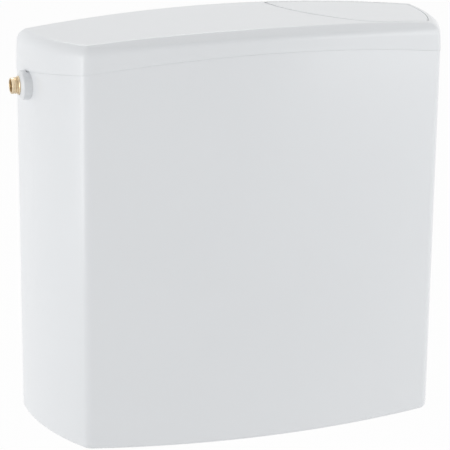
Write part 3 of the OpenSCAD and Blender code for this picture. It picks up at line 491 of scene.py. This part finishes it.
def select_ring(piece, number):
    bpy.ops.mesh.select_all(action="DESELECT")
    mesh = bmesh.from_edit_mesh(piece.data)
    ring = mesh.verts.layers.int["ring"]
    for e in mesh.edges:
        e.select = all(v[ring] == number for v in e.verts)
    mesh.select_flush_mode()


def close_flat(piece, number):
    select_ring(piece, number)
    bpy.ops.mesh.edge_face_add()


def close_crowned(piece, number, rise, middle):
    """Closes a ring by shrinking it towards the middle, each step set on the crown."""
    select_ring(piece, number)
    last = 1
    for share in CLOSING_SHARES:
        bpy.ops.mesh.extrude_edges_move()
        bpy.ops.transform.resize(value=(share / last, share / last, 1), center_override=middle)
        mesh = bmesh.from_edit_mesh(piece.data)
        for v in mesh.verts:
            if v.select:
                v.co.z = crown(v.co.x, v.co.y) + rise
        last = share
    bpy.ops.mesh.edge_face_add()
    bpy.ops.mesh.poke()


def loft(name, plan, rings):
    """A piece through (inset, back, place) rings, still in edit mode."""
    piece = begin(name)
    for number, (inset, back, place) in enumerate(rings):
        draw_ring(piece, plan, inset, back, place, number)
    bridge_rings(piece, len(rings))
    return piece


def end_loft(piece):
    """Normals outwards, ring numbers gone."""
    bpy.ops.mesh.select_all(action="SELECT")
    bpy.ops.mesh.normals_make_consistent(inside=False)
    bpy.ops.object.mode_set(mode="OBJECT")
    piece.data.attributes.remove(piece.data.attributes["ring"])


def quarter(radius, steps):
    """(inset, rise) pairs of a quarter round from an upright face over to a flat one."""
    turns = [math.pi / 2 * k / steps for k in range(steps + 1)]
    return [(radius * (1 - math.cos(t)), radius * math.sin(t)) for t in turns]


def rounded(before, corner, after, reach, steps=5):
    """Points of an outline round a corner, leaving each leg this far from it."""
    before, corner, after = Vector(before), Vector(corner), Vector(after)
    start = corner + reach * (before - corner).normalized()
    end = corner + reach * (after - corner).normalized()
    shares = [k / steps for k in range(steps + 1)]
    return [tuple((1 - t) ** 2 * start + 2 * t * (1 - t) * corner + t ** 2 * end) for t in shares]


def peg(name, radius, low, high, place, axis=(0, 0, 1), edge=0.0):
    """A round bar along an axis, with its far rim rounded off where an edge is given."""
    rim = [(radius, high)]
    if edge:
        rim = [(radius - inset, high - edge + rise) for inset, rise in quarter(edge, EDGE_STEPS)]
    return turned(name, [(0, low), (radius, low), *rim, (0, high)], place, axis)


def tank_moulding():
    inner = RIM_INSET + WALL
    rings = [(FOOT_R - rise, rise - FOOT_R, level(inset)) for inset, rise in quarter(FOOT_R, ROUND_STEPS)]
    rings += [(inset, -inset, on_seam(rise - SEAM_GAP - TANK_LIP))
              for inset, rise in quarter(TANK_LIP, LIP_STEPS)]
    rings += [
        (RIM_INSET, -RIM_INSET, on_seam(-SEAM_GAP)),
        (RIM_INSET, -RIM_INSET, on_seam(RIM_HEIGHT - RIM_EDGE)),
        (RIM_INSET + RIM_EDGE, -RIM_INSET - RIM_EDGE, on_seam(RIM_HEIGHT)),
        (inner - RIM_EDGE, -inner + RIM_EDGE, on_seam(RIM_HEIGHT)),
        (inner, -inner, on_seam(RIM_HEIGHT - RIM_EDGE)),
        (inner, -inner, on_seam(-WALL)),
        (WALL, -WALL, on_seam(-WALL - RIM_INSET)),
        (WALL, -WALL, level(FLOOR + FOOT_R)),
        (WALL + FOOT_R / 3, -WALL - FOOT_R / 3, level(FLOOR + FOOT_R / 3)),
        (WALL + FOOT_R, -WALL - FOOT_R, level(FLOOR))]
    piece = loft("tank_moulding", housing_plan, rings)
    close_flat(piece, 0)
    close_flat(piece, len(rings) - 1)
    end_loft(piece)
    adds, cuts = [outlet_plateau()], [outlet_pocket()]
    inwards = (0, -1, 0)
    for side in (-1, 1):
        screw = (side * SCREW_X, 0, SCREW_Z)
        adds.append(peg(
            "screw_boss", SCREW_BOSS_R, WALL / 2, SCREW_BOSS_END, screw, inwards, edge=SCREW_BOSS_EDGE))
        adds.append(inlet_boss(side))
        cuts.append(turned("screw_hole", [
            (0, -PAST), (SCREW_HOLE_R + SCREW_HOLE_EDGE, -PAST), (SCREW_HOLE_R + SCREW_HOLE_EDGE, 0),
            (SCREW_HOLE_R, SCREW_HOLE_EDGE), (SCREW_HOLE_R, SCREW_BOSS_END + PAST),
            (0, SCREW_BOSS_END + PAST)], screw, inwards))
        cuts.append(peg(
            "inlet_hole", INLET_HOLE_R, -PAST, PAD_L + PAST, (side * PAD_X, INLET_Y, INLET_Z), (-side, 0, 0)))
    combine(piece, "UNION", *adds)
    combine(piece, "DIFFERENCE", *cuts)
    return piece


def outlet_plateau():
    """Round plateau in the tank's floor, above the pocket."""
    outlet = (0, OUTLET_Y, UNDERSIDE)
    return peg("plateau", POCKET_R + FLOOR, FLOOR / 2, POCKET_H + FLOOR, outlet, edge=PLATEAU_EDGE)


def outlet_pocket():
    """Cutter for the pocket under the tank and the outlet's hole in its roof."""
    mouth, top = POCKET_R + POCKET_MOUTH_EDGE, POCKET_H + FLOOR + PAST
    return turned("pocket", [
        (0, -PAST), (mouth, -PAST), (mouth, 0), (POCKET_R, POCKET_MOUTH_EDGE),
        (POCKET_R, POCKET_H - POCKET_INNER_EDGE), (POCKET_R - POCKET_INNER_EDGE, POCKET_H),
        (OUTLET_HOLE_R, POCKET_H), (OUTLET_HOLE_R, top), (0, top)], (0, OUTLET_Y, UNDERSIDE))


def inlet_boss(side):
    """Round boss of an inlet with the pad inside the tank, cut off below the lid's edge."""
    piece = turned("inlet_boss", [
        (0, 0), (INLET_BOSS_R, 0), (INLET_BOSS_R, INLET_BOSS_L), (PAD_R, INLET_BOSS_L), (PAD_R, PAD_L),
        (0, PAD_L)], (side * PAD_X, INLET_Y, INLET_Z), (-side, 0, 0))
    bpy.ops.object.mode_set(mode="EDIT")
    bpy.ops.mesh.select_all(action="SELECT")
    bpy.ops.mesh.bisect(
        plane_co=(0, 0, seam(HALF_WIDTH, 0) - SEAM_ROOM), plane_no=(0, SEAM_WALL_DROP, SIDE_DEPTH),
        use_fill=True, clear_outer=True, threshold=CUT_WITHIN)
    bpy.ops.object.mode_set(mode="OBJECT")
    return piece


def lid_band(radius, tilt, slope):
    """(inset, rise) pairs of the lid's band: upright, rounded over, then a slope up to a crisp edge."""
    turns = [(math.pi / 2 - tilt) * k / BAND_STEPS for k in range(BAND_STEPS + 1)]
    arc = [(radius * (1 - math.cos(t)), radius * math.sin(t)) for t in turns]
    inset, rise = arc[-1]
    edge = (inset + slope, rise + slope * math.tan(tilt))
    top = (edge[0] + BAND_TOP, edge[1])
    return [(i, r - edge[1]) for i, r in [*arc, *rounded(arc[-1], edge, top, BAND_EDGE), top]]


def banded(at_corner, at_middle):
    """Place of a ring of the lid's band, which widens from the corners towards the middle of the front."""
    def place(x, y):
        share = max(0, 1 - (x / HALF_FRONT) ** BAND_POWER) if y < -SIDE_DEPTH / 2 else 0
        inset, rise = (share * (m - c) for c, m in zip(at_corner, at_middle))
        return y + inset, crown(x, y + inset) + at_corner[1] + rise
    return place


def lid_moulding():
    shoulder = LID_FLARE - LID_OVERHANG
    skirt = LID_WALL - LID_OVERHANG
    inner_r = LID_EDGE_R - LID_WALL

    def ring(inset, place):
        return inset, -max(inset, LID_BACK), place

    rings = [ring(shoulder + LID_WALL + inset, on_crown(rise - inner_r - LID_WALL))
             for inset, rise in quarter(inner_r, ROUND_STEPS)[::-1]]
    rings += [
        ring(skirt, on_seam(LID_LIP)),
        ring(skirt - LID_LIP, on_seam(0)),
        ring(-LID_OVERHANG + LID_LIP, on_seam(0)),
        ring(-LID_OVERHANG, on_seam(LID_LIP))]
    rings += [ring(shoulder + at_corner[0], banded(at_corner, at_middle))
              for at_corner, at_middle in zip(lid_band(**CORNER_BAND), lid_band(**MIDDLE_BAND))]
    piece = loft("lid_moulding", housing_plan, rings)
    middle = (0, -FULL_DEPTH / 2, 0)
    close_crowned(piece, len(rings) - 1, 0, middle)
    close_crowned(piece, 0, -LID_WALL, middle)
    end_loft(piece)
    combine(piece, "DIFFERENCE", key_opening())
    soften_opening(piece)
    bosses, holes = [], []
    for x, y in LID_BOSSES:
        foot = (x, y, LID_BOSS_Z)
        top = crown(x, y) - LID_WALL / 2 - LID_BOSS_Z
        bosses.append(peg("screw_boss", LID_BOSS_R, 0, top, foot))
        holes.append(peg("screw_hole", LID_HOLE_R, -PAST, LID_HOLE_L, foot))
    combine(piece, "UNION", *bosses)
    combine(piece, "DIFFERENCE", *holes)
    return piece


def key_opening():
    """Cutter for the key's opening in the lid."""
    back = -KEY_RIM + KEY_GAP
    piece = loft("key_opening", opening_plan, [
        (-KEY_GAP, back, on_crown(-OPENING_REACH)), (-KEY_GAP, back, on_crown(OPENING_REACH))])
    close_flat(piece, 0)
    close_flat(piece, 1)
    end_loft(piece)
    return piece


def soften_opening(piece):
    """Rounds the sharp rim of the key's opening on the lid's top."""
    select_only(piece)
    bpy.ops.object.mode_set(mode="EDIT")
    bpy.ops.mesh.select_mode(type="EDGE")
    bpy.ops.mesh.select_all(action="DESELECT")
    mesh = bmesh.from_edit_mesh(piece.data)
    for e in mesh.edges:
        on_top = all(v.co.z > crown(v.co.x, v.co.y) - NEAR_TOP for v in e.verts)
        e.select = on_top and e.calc_face_angle(0) > SHARP_FOLD
    mesh.select_flush_mode()
    bpy.ops.mesh.bevel(offset=OPENING_EDGE, segments=LIP_STEPS, affect="EDGES")
    bpy.ops.object.mode_set(mode="OBJECT")


def key_moulding():
    rings = [(0, -KEY_RIM, on_crown(-KEY_THICK)), (0, -KEY_RIM, on_crown(-KEY_EDGE_R))]
    rings += [(inset, -KEY_RIM - inset, on_crown(rise - KEY_EDGE_R))
              for inset, rise in quarter(KEY_EDGE_R, EDGE_STEPS)[1:]]
    piece = loft("key_moulding", key_plan, rings)
    close_crowned(piece, len(rings) - 1, 0, KEY_MIDDLE)
    close_crowned(piece, 0, -KEY_THICK, KEY_MIDDLE)
    end_loft(piece)
    inside = KEY_THICK / 2

    def within(x, y):
        return crown(x, y) - inside

    post_top = within(POST_X, POST_Y)
    post_l = post_top - POST_Z
    tip = [(POST_R - inset, -rise) for inset, rise in quarter(POST_R, TIP_STEPS)[::-1]]
    post = turned("press_post", [*tip, (POST_R, post_l), (0, post_l)], (POST_X, POST_Y, POST_Z))
    rib = block("post_rib", (POST_X - RIB_T / 2, POST_Y, RIB_Z),
                (POST_X + RIB_T / 2, POST_Y + RIB_L, post_top - RIB_LOWER))
    combine(piece, "UNION", post)
    combine(piece, "UNION", rib)
    peg_top = within(PEG_X, PEG_Y) - UNDERSIDE
    adds = [peg("spring_peg", PEG_R, -peg_top, -(peg_top - inside - PEG_H), (PEG_X, PEG_Y, UNDERSIDE),
                (0, 0, -1), edge=PEG_EDGE)]
    holes = []
    for x in LUG_XS:
        lug = peg("hinge_lug", LUG_R, -LUG_W / 2, LUG_W / 2, (x, LUG_Y, LUG_Z), (1, 0, 0))
        web = block("lug_web", (x - LUG_W / 2, LUG_Y - LUG_R, LUG_Z),
                    (x + LUG_W / 2, LUG_Y + LUG_R, within(x + LUG_W / 2, LUG_Y)))
        combine(lug, "UNION", web)
        adds.append(lug)
        holes.append(peg("pin_hole", LUG_HOLE_R, -LUG_W, LUG_W, (x, LUG_Y, LUG_Z), (1, 0, 0)))
    combine(piece, "UNION", *adds)
    combine(piece, "DIFFERENCE", *holes)
    return piece


def return_spring():
    low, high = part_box("key_spring")
    rise = high.z - low.z - 2 * WIRE_R
    section = [(COIL_R + WIRE_R * math.cos(t), WIRE_R * math.sin(t))
               for t in [2 * math.pi * k / WIRE_SIDES for k in range(WIRE_SIDES)]]
    piece = coiled("return_spring", section, rise / CURLS, CURLS, CURL_STEPS)
    return set_down(piece, (PEG_X, PEG_Y, low.z + WIRE_R))


def brass_nipple():
    """Turned from the outer end inwards: wide mouth, plain lead, thread, shoulder and shank."""
    low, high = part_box("inlet_nipple")
    length = high.x - low.x
    shank = THREAD_L + SHOULDER_L
    mouth = (MOUTH_R + MOUTH_EDGE, 0)
    piece = turned("brass_nipple", [
        mouth, *rounded(mouth, (LEAD_R, 0), (LEAD_R, LEAD_L), LEAD_FRONT_EDGE),
        (LEAD_R, LEAD_L - LEAD_BACK_EDGE), (THREAD_CORE_R, LEAD_L), (THREAD_CORE_R, THREAD_L),
        (SHOULDER_R - SHOULDER_FRONT_EDGE, THREAD_L), (SHOULDER_R, THREAD_L + SHOULDER_FRONT_EDGE),
        (SHOULDER_R, shank - SHOULDER_BACK_EDGE), (SHOULDER_R - SHOULDER_BACK_EDGE, shank),
        (THREAD_R, shank), (THREAD_R, length - SHANK_EDGE), (THREAD_R - SHANK_EDGE, length),
        (NIPPLE_BORE_R, length), (NIPPLE_BORE_R, MOUTH_L + MOUTH_TAPER), (MOUTH_R, MOUTH_L),
        (MOUTH_R, MOUTH_EDGE), mouth])
    combine(piece, "UNION", wound_thread())
    return set_down(piece, (low.x, INLET_Y, INLET_Z), (1, 0, 0))


def wound_thread():
    """The nipple's thread, a tooth that rises out of the core at one end and sinks back at the other."""
    tooth = [
        (TOOTH_ROOT_R, -TOOTH_HALF_ROOT), (TOOTH_CREST_R, -TOOTH_HALF_CREST),
        (TOOTH_CREST_R, TOOTH_HALF_CREST), (TOOTH_ROOT_R, TOOTH_HALF_ROOT)]
    thread = coiled("thread", tooth, THREAD_PITCH, THREAD_TURNS, THREAD_STEPS)
    sunk_r = TOOTH_ROOT_R - THREAD_SUNK
    for v in thread.data.vertices:
        turn = v.index // len(tooth) / THREAD_STEPS
        fade = min(1, THREAD_FADES * turn, THREAD_FADES * (THREAD_TURNS - turn))
        across = Vector((v.co.x, v.co.y))
        v.co.x, v.co.y = across.normalized() * (sunk_r + (across.length - sunk_r) * fade)
    return set_down(thread, (0, 0, LEAD_L + THREAD_START))


def inlet_collar():
    """Turned from the tank's boss outwards: hollow for the washer, sloping front, hollow for the shoulder."""
    low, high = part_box("inlet_collar")
    length = high.x - low.x
    sunk = high.x - washer_low.x
    foot, edge, lip = (COLLAR_R, 0), (COLLAR_R, COLLAR_L), (SHOULDER_SEAT_R + COLLAR_LIP, length)
    inside = (SHOULDER_SEAT_R, length)
    start = (COLLAR_BORE_R, sunk)
    return turned("round_collar", [
        start, (WASHER_SEAT_R, sunk), (WASHER_SEAT_R, 0), foot, *rounded(foot, edge, lip, COLLAR_EDGE),
        *rounded(edge, lip, inside, COLLAR_LIP_EDGE), inside, (SHOULDER_SEAT_R, COLLAR_L),
        (COLLAR_BORE_R, COLLAR_L), start], (high.x, INLET_Y, INLET_Z), (-1, 0, 0))


def blanking_plug():
    low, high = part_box("side_plug")
    shank = PAD_X - low.x
    rim = [(PAD_R - inset, PLUG_HEAD_T - PLUG_EDGE + rise) for inset, rise in quarter(PLUG_EDGE, EDGE_STEPS)]
    piece = turned("blanking_plug", [
        (0, -shank), (THREAD_R - SHANK_EDGE, -shank), (THREAD_R, SHANK_EDGE - shank), (THREAD_R, 0),
        (PAD_R, 0), *rim, (0, PLUG_HEAD_T)], (PAD_X, INLET_Y, INLET_Z), (1, 0, 0))
    slot = block("coin_slot", (high.x - COIN_SLOT_DEEP, INLET_Y - COIN_SLOT_L / 2, INLET_Z - COIN_SLOT_W / 2),
                 (high.x + PAST, INLET_Y + COIN_SLOT_L / 2, INLET_Z + COIN_SLOT_W / 2))
    combine(piece, "DIFFERENCE", slot)
    return piece


class Shading:
    """A node tree that shader nodes are added to."""

    def __init__(self, tree):
        self.tree = tree

    def add(self, kind, settings=None, sockets=None):
        """A node of a kind: its settings first, then a value or a link for each socket."""
        node = self.tree.nodes.new(kind)
        for name, value in (settings or {}).items():
            setattr(node, name, value)
        for key, value in (sockets or {}).items():
            self.feed(node.inputs[key], value)
        return node

    def feed(self, socket, value):
        if isinstance(value, Value):
            self.tree.links.new(value.socket, socket)
        elif isinstance(value, bpy.types.NodeSocket):
            self.tree.links.new(value, socket)
        else:
            socket.default_value = value


class Value:
    """A number in a node tree, so that sums are written as in Python and become Math nodes."""

    def __init__(self, shading, socket):
        self.shading, self.socket = shading, socket

    def worked(self, operation, first, second):
        node = self.shading.add("ShaderNodeMath", {"operation": operation}, {0: first, 1: second})
        return Value(self.shading, node.outputs[0])

    def __add__(self, other):
        return self.worked("ADD", self, other)

    def __radd__(self, other):
        return self.worked("ADD", other, self)

    def __sub__(self, other):
        return self.worked("SUBTRACT", self, other)

    def __rsub__(self, other):
        return self.worked("SUBTRACT", other, self)

    def __mul__(self, other):
        return self.worked("MULTIPLY", self, other)

    def __rmul__(self, other):
        return self.worked("MULTIPLY", other, self)


class Finish(Shading):
    """A material on the Principled shader, with patterns on Object coordinates."""

    def __init__(self, name, **constants):
        self.material = bpy.data.materials.new(name)
        self.material.use_nodes = True
        super().__init__(self.material.node_tree)
        self.shader = self.tree.nodes["Principled BSDF"]
        for socket, value in constants.items():
            self.shader.inputs[socket.replace("_", " ")].default_value = value
        self.place = self.add("ShaderNodeTexCoord").outputs["Object"]

    def stretched(self, x, y, z):
        """Object coordinates drawn out by a factor along each axis."""
        return self.add("ShaderNodeMapping", None, {"Vector": self.place, "Scale": (x, y, z)}).outputs[0]

    def noise(self, scale, detail=2.0, place=None):
        node = self.add("ShaderNodeTexNoise", None, {
            "Vector": place or self.place, "Scale": scale, "Detail": detail})
        return Value(self, node.outputs["Fac"])

    def cells(self, scale, feature="F1"):
        return self.add("ShaderNodeTexVoronoi", {"feature": feature}, {"Vector": self.place, "Scale": scale})

    def waves(self, direction, scale, distortion):
        node = self.add("ShaderNodeTexWave", {"bands_direction": direction}, {
            "Vector": self.place, "Scale": scale, "Distortion": distortion, "Detail": 2.0})
        return Value(self, node.outputs["Fac"])

    def clear(self, value, low, high):
        """A value stretched so that low becomes 0 and high becomes 1, and held there."""
        node = self.add("ShaderNodeMapRange", None, {"Value": value, "From Min": low, "From Max": high})
        return Value(self, node.outputs["Result"])

    def mixed(self, share, first, second):
        node = self.add("ShaderNodeMix", {"data_type": "RGBA"}, {
            0: share, 6: first if isinstance(first, bpy.types.NodeSocket) else (*first, 1), 7: (*second, 1)})
        return node.outputs[2]

    def lay(self, colour, roughness, relief, strength, depth):
        bump = self.add("ShaderNodeBump", None, {"Strength": strength, "Distance": depth, "Height": relief})
        self.feed(self.shader.inputs["Base Color"], colour)
        self.feed(self.shader.inputs["Roughness"], roughness)
        self.feed(self.shader.inputs["Normal"], bump.outputs["Normal"])
        return self.material


def gloss_white():
    finish = Finish("gloss_white", IOR=1.5, Coat_Roughness=0.1)
    cloud, smudge, grain = finish.noise(5, 2.0), finish.noise(18, 3.0), finish.noise(1300)
    finish.feed(finish.shader.inputs["Coat Weight"], 0.1 + 0.06 * smudge)
    return finish.lay(
        finish.mixed(finish.clear(cloud, 0.3, 0.7), (0.762, 0.78, 0.799), (0.774, 0.792, 0.811)),
        0.25 + 0.05 * smudge + 0.05 * grain, grain, 0.03, 0.2 * MM)


def inner_white():
    finish = Finish("inner_white", IOR=1.5)
    cloud, grain = finish.noise(14, 3.0), finish.noise(900, 3.0)
    return finish.lay(
        finish.mixed(finish.clear(cloud, 0.3, 0.7), (0.68, 0.69, 0.685), (0.75, 0.755, 0.745)),
        0.36 + 0.12 * cloud + 0.1 * grain, 0.4 * cloud + 0.6 * grain, 0.12, 0.3 * MM)


def bead_foam():
    finish = Finish("bead_foam", IOR=1.35)
    beads = finish.cells(270)
    # The grey mixed in near the cell edges is painted shade in the grooves between the beads; the same mask
    # also raises the beads in the bump.
    gap = Value(finish, finish.cells(270, "DISTANCE_TO_EDGE").outputs["Distance"])
    seen = finish.clear(gap, 0.0, 0.12)
    tone = finish.mixed(finish.noise(9, 3.0), (0.7, 0.71, 0.715), (0.78, 0.785, 0.785))
    return finish.lay(
        finish.mixed(0.35 - 0.35 * seen, tone, (0.5, 0.51, 0.52)),
        0.55 + 0.25 * Value(finish, beads.outputs["Distance"]), seen, 0.5, 0.6 * MM)


def moulded(name, dark, light):
    """Plain coloured moulding with faint flow marks and a fine spark-eroded grain."""
    finish = Finish(name, IOR=1.48)
    flow = finish.noise(22, 4.0, finish.stretched(1, 1, 0.35))
    grain = finish.noise(1100, 3.0)
    return finish.lay(
        finish.mixed(finish.clear(flow, 0.3, 0.7), dark, light),
        0.34 + 0.14 * flow + 0.12 * grain, 0.25 * flow + 0.75 * grain, 0.16, 0.3 * MM)


def black_rubber():
    finish = Finish("black_rubber", IOR=1.5)
    bloom, grain = finish.noise(45, 5.0), finish.noise(1600, 3.0)
    return finish.lay(
        finish.mixed(finish.clear(bloom, 0.45, 0.8), (0.022, 0.022, 0.023), (0.06, 0.06, 0.058)),
        0.6 + 0.2 * bloom + 0.1 * grain, grain, 0.25, 0.2 * MM)


def turned_brass():
    finish = Finish("turned_brass", Metallic=1.0)
    marks, tarnish = finish.waves("X", 900, 1.5), finish.noise(160, 5.0)
    return finish.lay(
        finish.mixed(finish.clear(tarnish, 0.35, 0.75), (0.8, 0.66, 0.46), (0.6, 0.49, 0.34)),
        0.2 + 0.1 * marks + 0.16 * tarnish, marks, 0.12, 0.05 * MM)


def drawn_steel():
    finish = Finish("drawn_steel", Metallic=1.0)
    lines, cloud = finish.noise(700, 3.0, finish.stretched(0.06, 1, 1)), finish.noise(120, 3.0)
    return finish.lay(
        finish.mixed(cloud, (0.5, 0.51, 0.52), (0.66, 0.665, 0.67)),
        0.22 + 0.2 * lines, lines, 0.1, 0.05 * MM)


finishes = {
    "white_gloss": gloss_white(), "white_inner": inner_white(), "foam": bead_foam(),
    "grey_plastic": moulded("grey_moulding", (0.27, 0.28, 0.3), (0.34, 0.355, 0.375)),
    "blue_plastic": moulded("blue_moulding", (0.13, 0.22, 0.34), (0.17, 0.28, 0.41)),
    "rubber": black_rubber(), "brass": turned_brass(), "steel": drawn_steel()}
slots = {part["node"]: part["material_slot"] for part in frame["record"]["subparts"]}


def dress(piece, body, node):
    """Puts a finished piece in its node's place, with the node's finish."""
    smooth(piece)
    piece.data.materials.clear()
    piece.data.materials.append(finishes[slots[node]])
    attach(piece, body)
    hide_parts(node)


dress(tank_moulding(), "housing", "tank")
dress(lid_moulding(), "lid", "lid")
dress(key_moulding(), "flush_key", "flush_key")
dress(brass_nipple(), "housing", "inlet_nipple")
dress(inlet_collar(), "housing", "inlet_collar")
dress(blanking_plug(), "housing", "side_plug")
spring = return_spring()
dress(spring, "lid", "key_spring")
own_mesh(spring)
for name, node in nodes.items():
    for slot in node.material_slots:
        slot.material = finishes[slots[name]]

# Camera at the photograph's viewing angle
YAW, PITCH, ROLL = math.radians(19.04), math.radians(17.10), math.radians(0.41)
CAMERA_PLACE = (-0.73518, -2.14986, 0.54108)
LENS, SENSOR = 181.1, 36
forward = Vector((math.sin(YAW) * math.cos(PITCH), math.cos(YAW) * math.cos(PITCH), -math.sin(PITCH)))
level_right = Vector((math.cos(YAW), -math.sin(YAW), 0))
level_up = level_right.cross(forward)
right = math.cos(ROLL) * level_right + math.sin(ROLL) * level_up
up = -math.sin(ROLL) * level_right + math.cos(ROLL) * level_up
bpy.ops.object.camera_add()
camera = bpy.context.object
camera.data.lens = LENS
camera.data.sensor_width = SENSOR
facing = Matrix((right, up, -forward)).transposed().to_4x4()
camera.matrix_world = Matrix.Translation(CAMERA_PLACE) @ facing
bpy.context.scene.camera = camera

# Studio: floor and surrounding show an even white to the camera and in reflections only
WALL_LIGHT = 1.12
CEILING_DROP = 0.8
FLOOR_GLOW = 0.96
FLOOR_SIZE = 14
FLOOR_BELOW = 0.5
LAMP_AIM = Vector((0, -0.08, -0.1))
bpy.ops.mesh.primitive_plane_add(size=FLOOR_SIZE, location=(0, 0, UNDERSIDE - FLOOR_BELOW))
floor = bpy.context.object
floor.name = "studio_floor"


def seen_directly(shading):
    """1 for rays from the camera, from reflections and through clear pieces, 0 for the rest."""
    path = shading.add("ShaderNodeLightPath").outputs
    camera_ray, glossy, clear = (
        Value(shading, path[name]) for name in ("Is Camera Ray", "Is Glossy Ray", "Is Transmission Ray"))
    return camera_ray.worked("MAXIMUM", camera_ray, glossy.worked("MAXIMUM", glossy, clear))


paint = Finish("floor_paint", Roughness=0.9)
greys = paint.mixed(paint.noise(3, 2.0), (0.8, 0.8, 0.8), (0.84, 0.84, 0.84))
paint.feed(paint.shader.inputs["Base Color"], greys)
glow = paint.add("ShaderNodeEmission", None, {"Color": (1, 1, 1, 1), "Strength": 1.0})
shown = paint.add("ShaderNodeMixShader", None, {
    0: FLOOR_GLOW * seen_directly(paint), 1: paint.shader.outputs[0], 2: glow.outputs[0]})
paint.feed(paint.tree.nodes["Material Output"].inputs["Surface"], shown.outputs[0])
floor.data.materials.append(paint.material)

world = bpy.data.worlds.new("studio_world")
bpy.context.scene.world = world
world.use_nodes = True
air = Shading(world.node_tree)
toward = air.add("ShaderNodeSeparateXYZ", None, {0: air.add("ShaderNodeTexCoord").outputs["Generated"]})
height = Value(air, toward.outputs["Z"])
plain = air.add("ShaderNodeBackground", None, {
    "Color": (1, 1, 1, 1), "Strength": WALL_LIGHT - CEILING_DROP * height.worked("MAXIMUM", height, 0)})
bright = air.add("ShaderNodeBackground", None, {"Color": (1, 1, 1, 1), "Strength": 1.0})
both = air.add("ShaderNodeMixShader", None, {
    0: seen_directly(air), 1: plain.outputs[0], 2: bright.outputs[0]})
air.feed(world.node_tree.nodes["World Output"].inputs["Surface"], both.outputs[0])


def lamp(name, place, size, watts, height=None):
    """A softbox aimed at the middle of the cistern, square unless a height is given."""
    bpy.ops.object.light_add(type="AREA", location=place)
    light = bpy.context.object
    light.name = name
    light.data.energy = watts
    light.data.shape = "RECTANGLE"
    light.data.size, light.data.size_y = size, height or size
    light.rotation_euler = (LAMP_AIM - Vector(place)).to_track_quat("-Z", "Y").to_euler()


lamp("left_softbox", place=(-2.8, 0.0, 0.0), size=1.6, watts=19)
lamp("back_softbox", place=(0.3, 2.1, 2.1), size=2.0, watts=20)
lamp("right_softbox", place=(2.6, -2.0, 0.8), size=3.4, watts=30, height=2.0)
bpy.context.scene.view_settings.view_transform = "Standard"
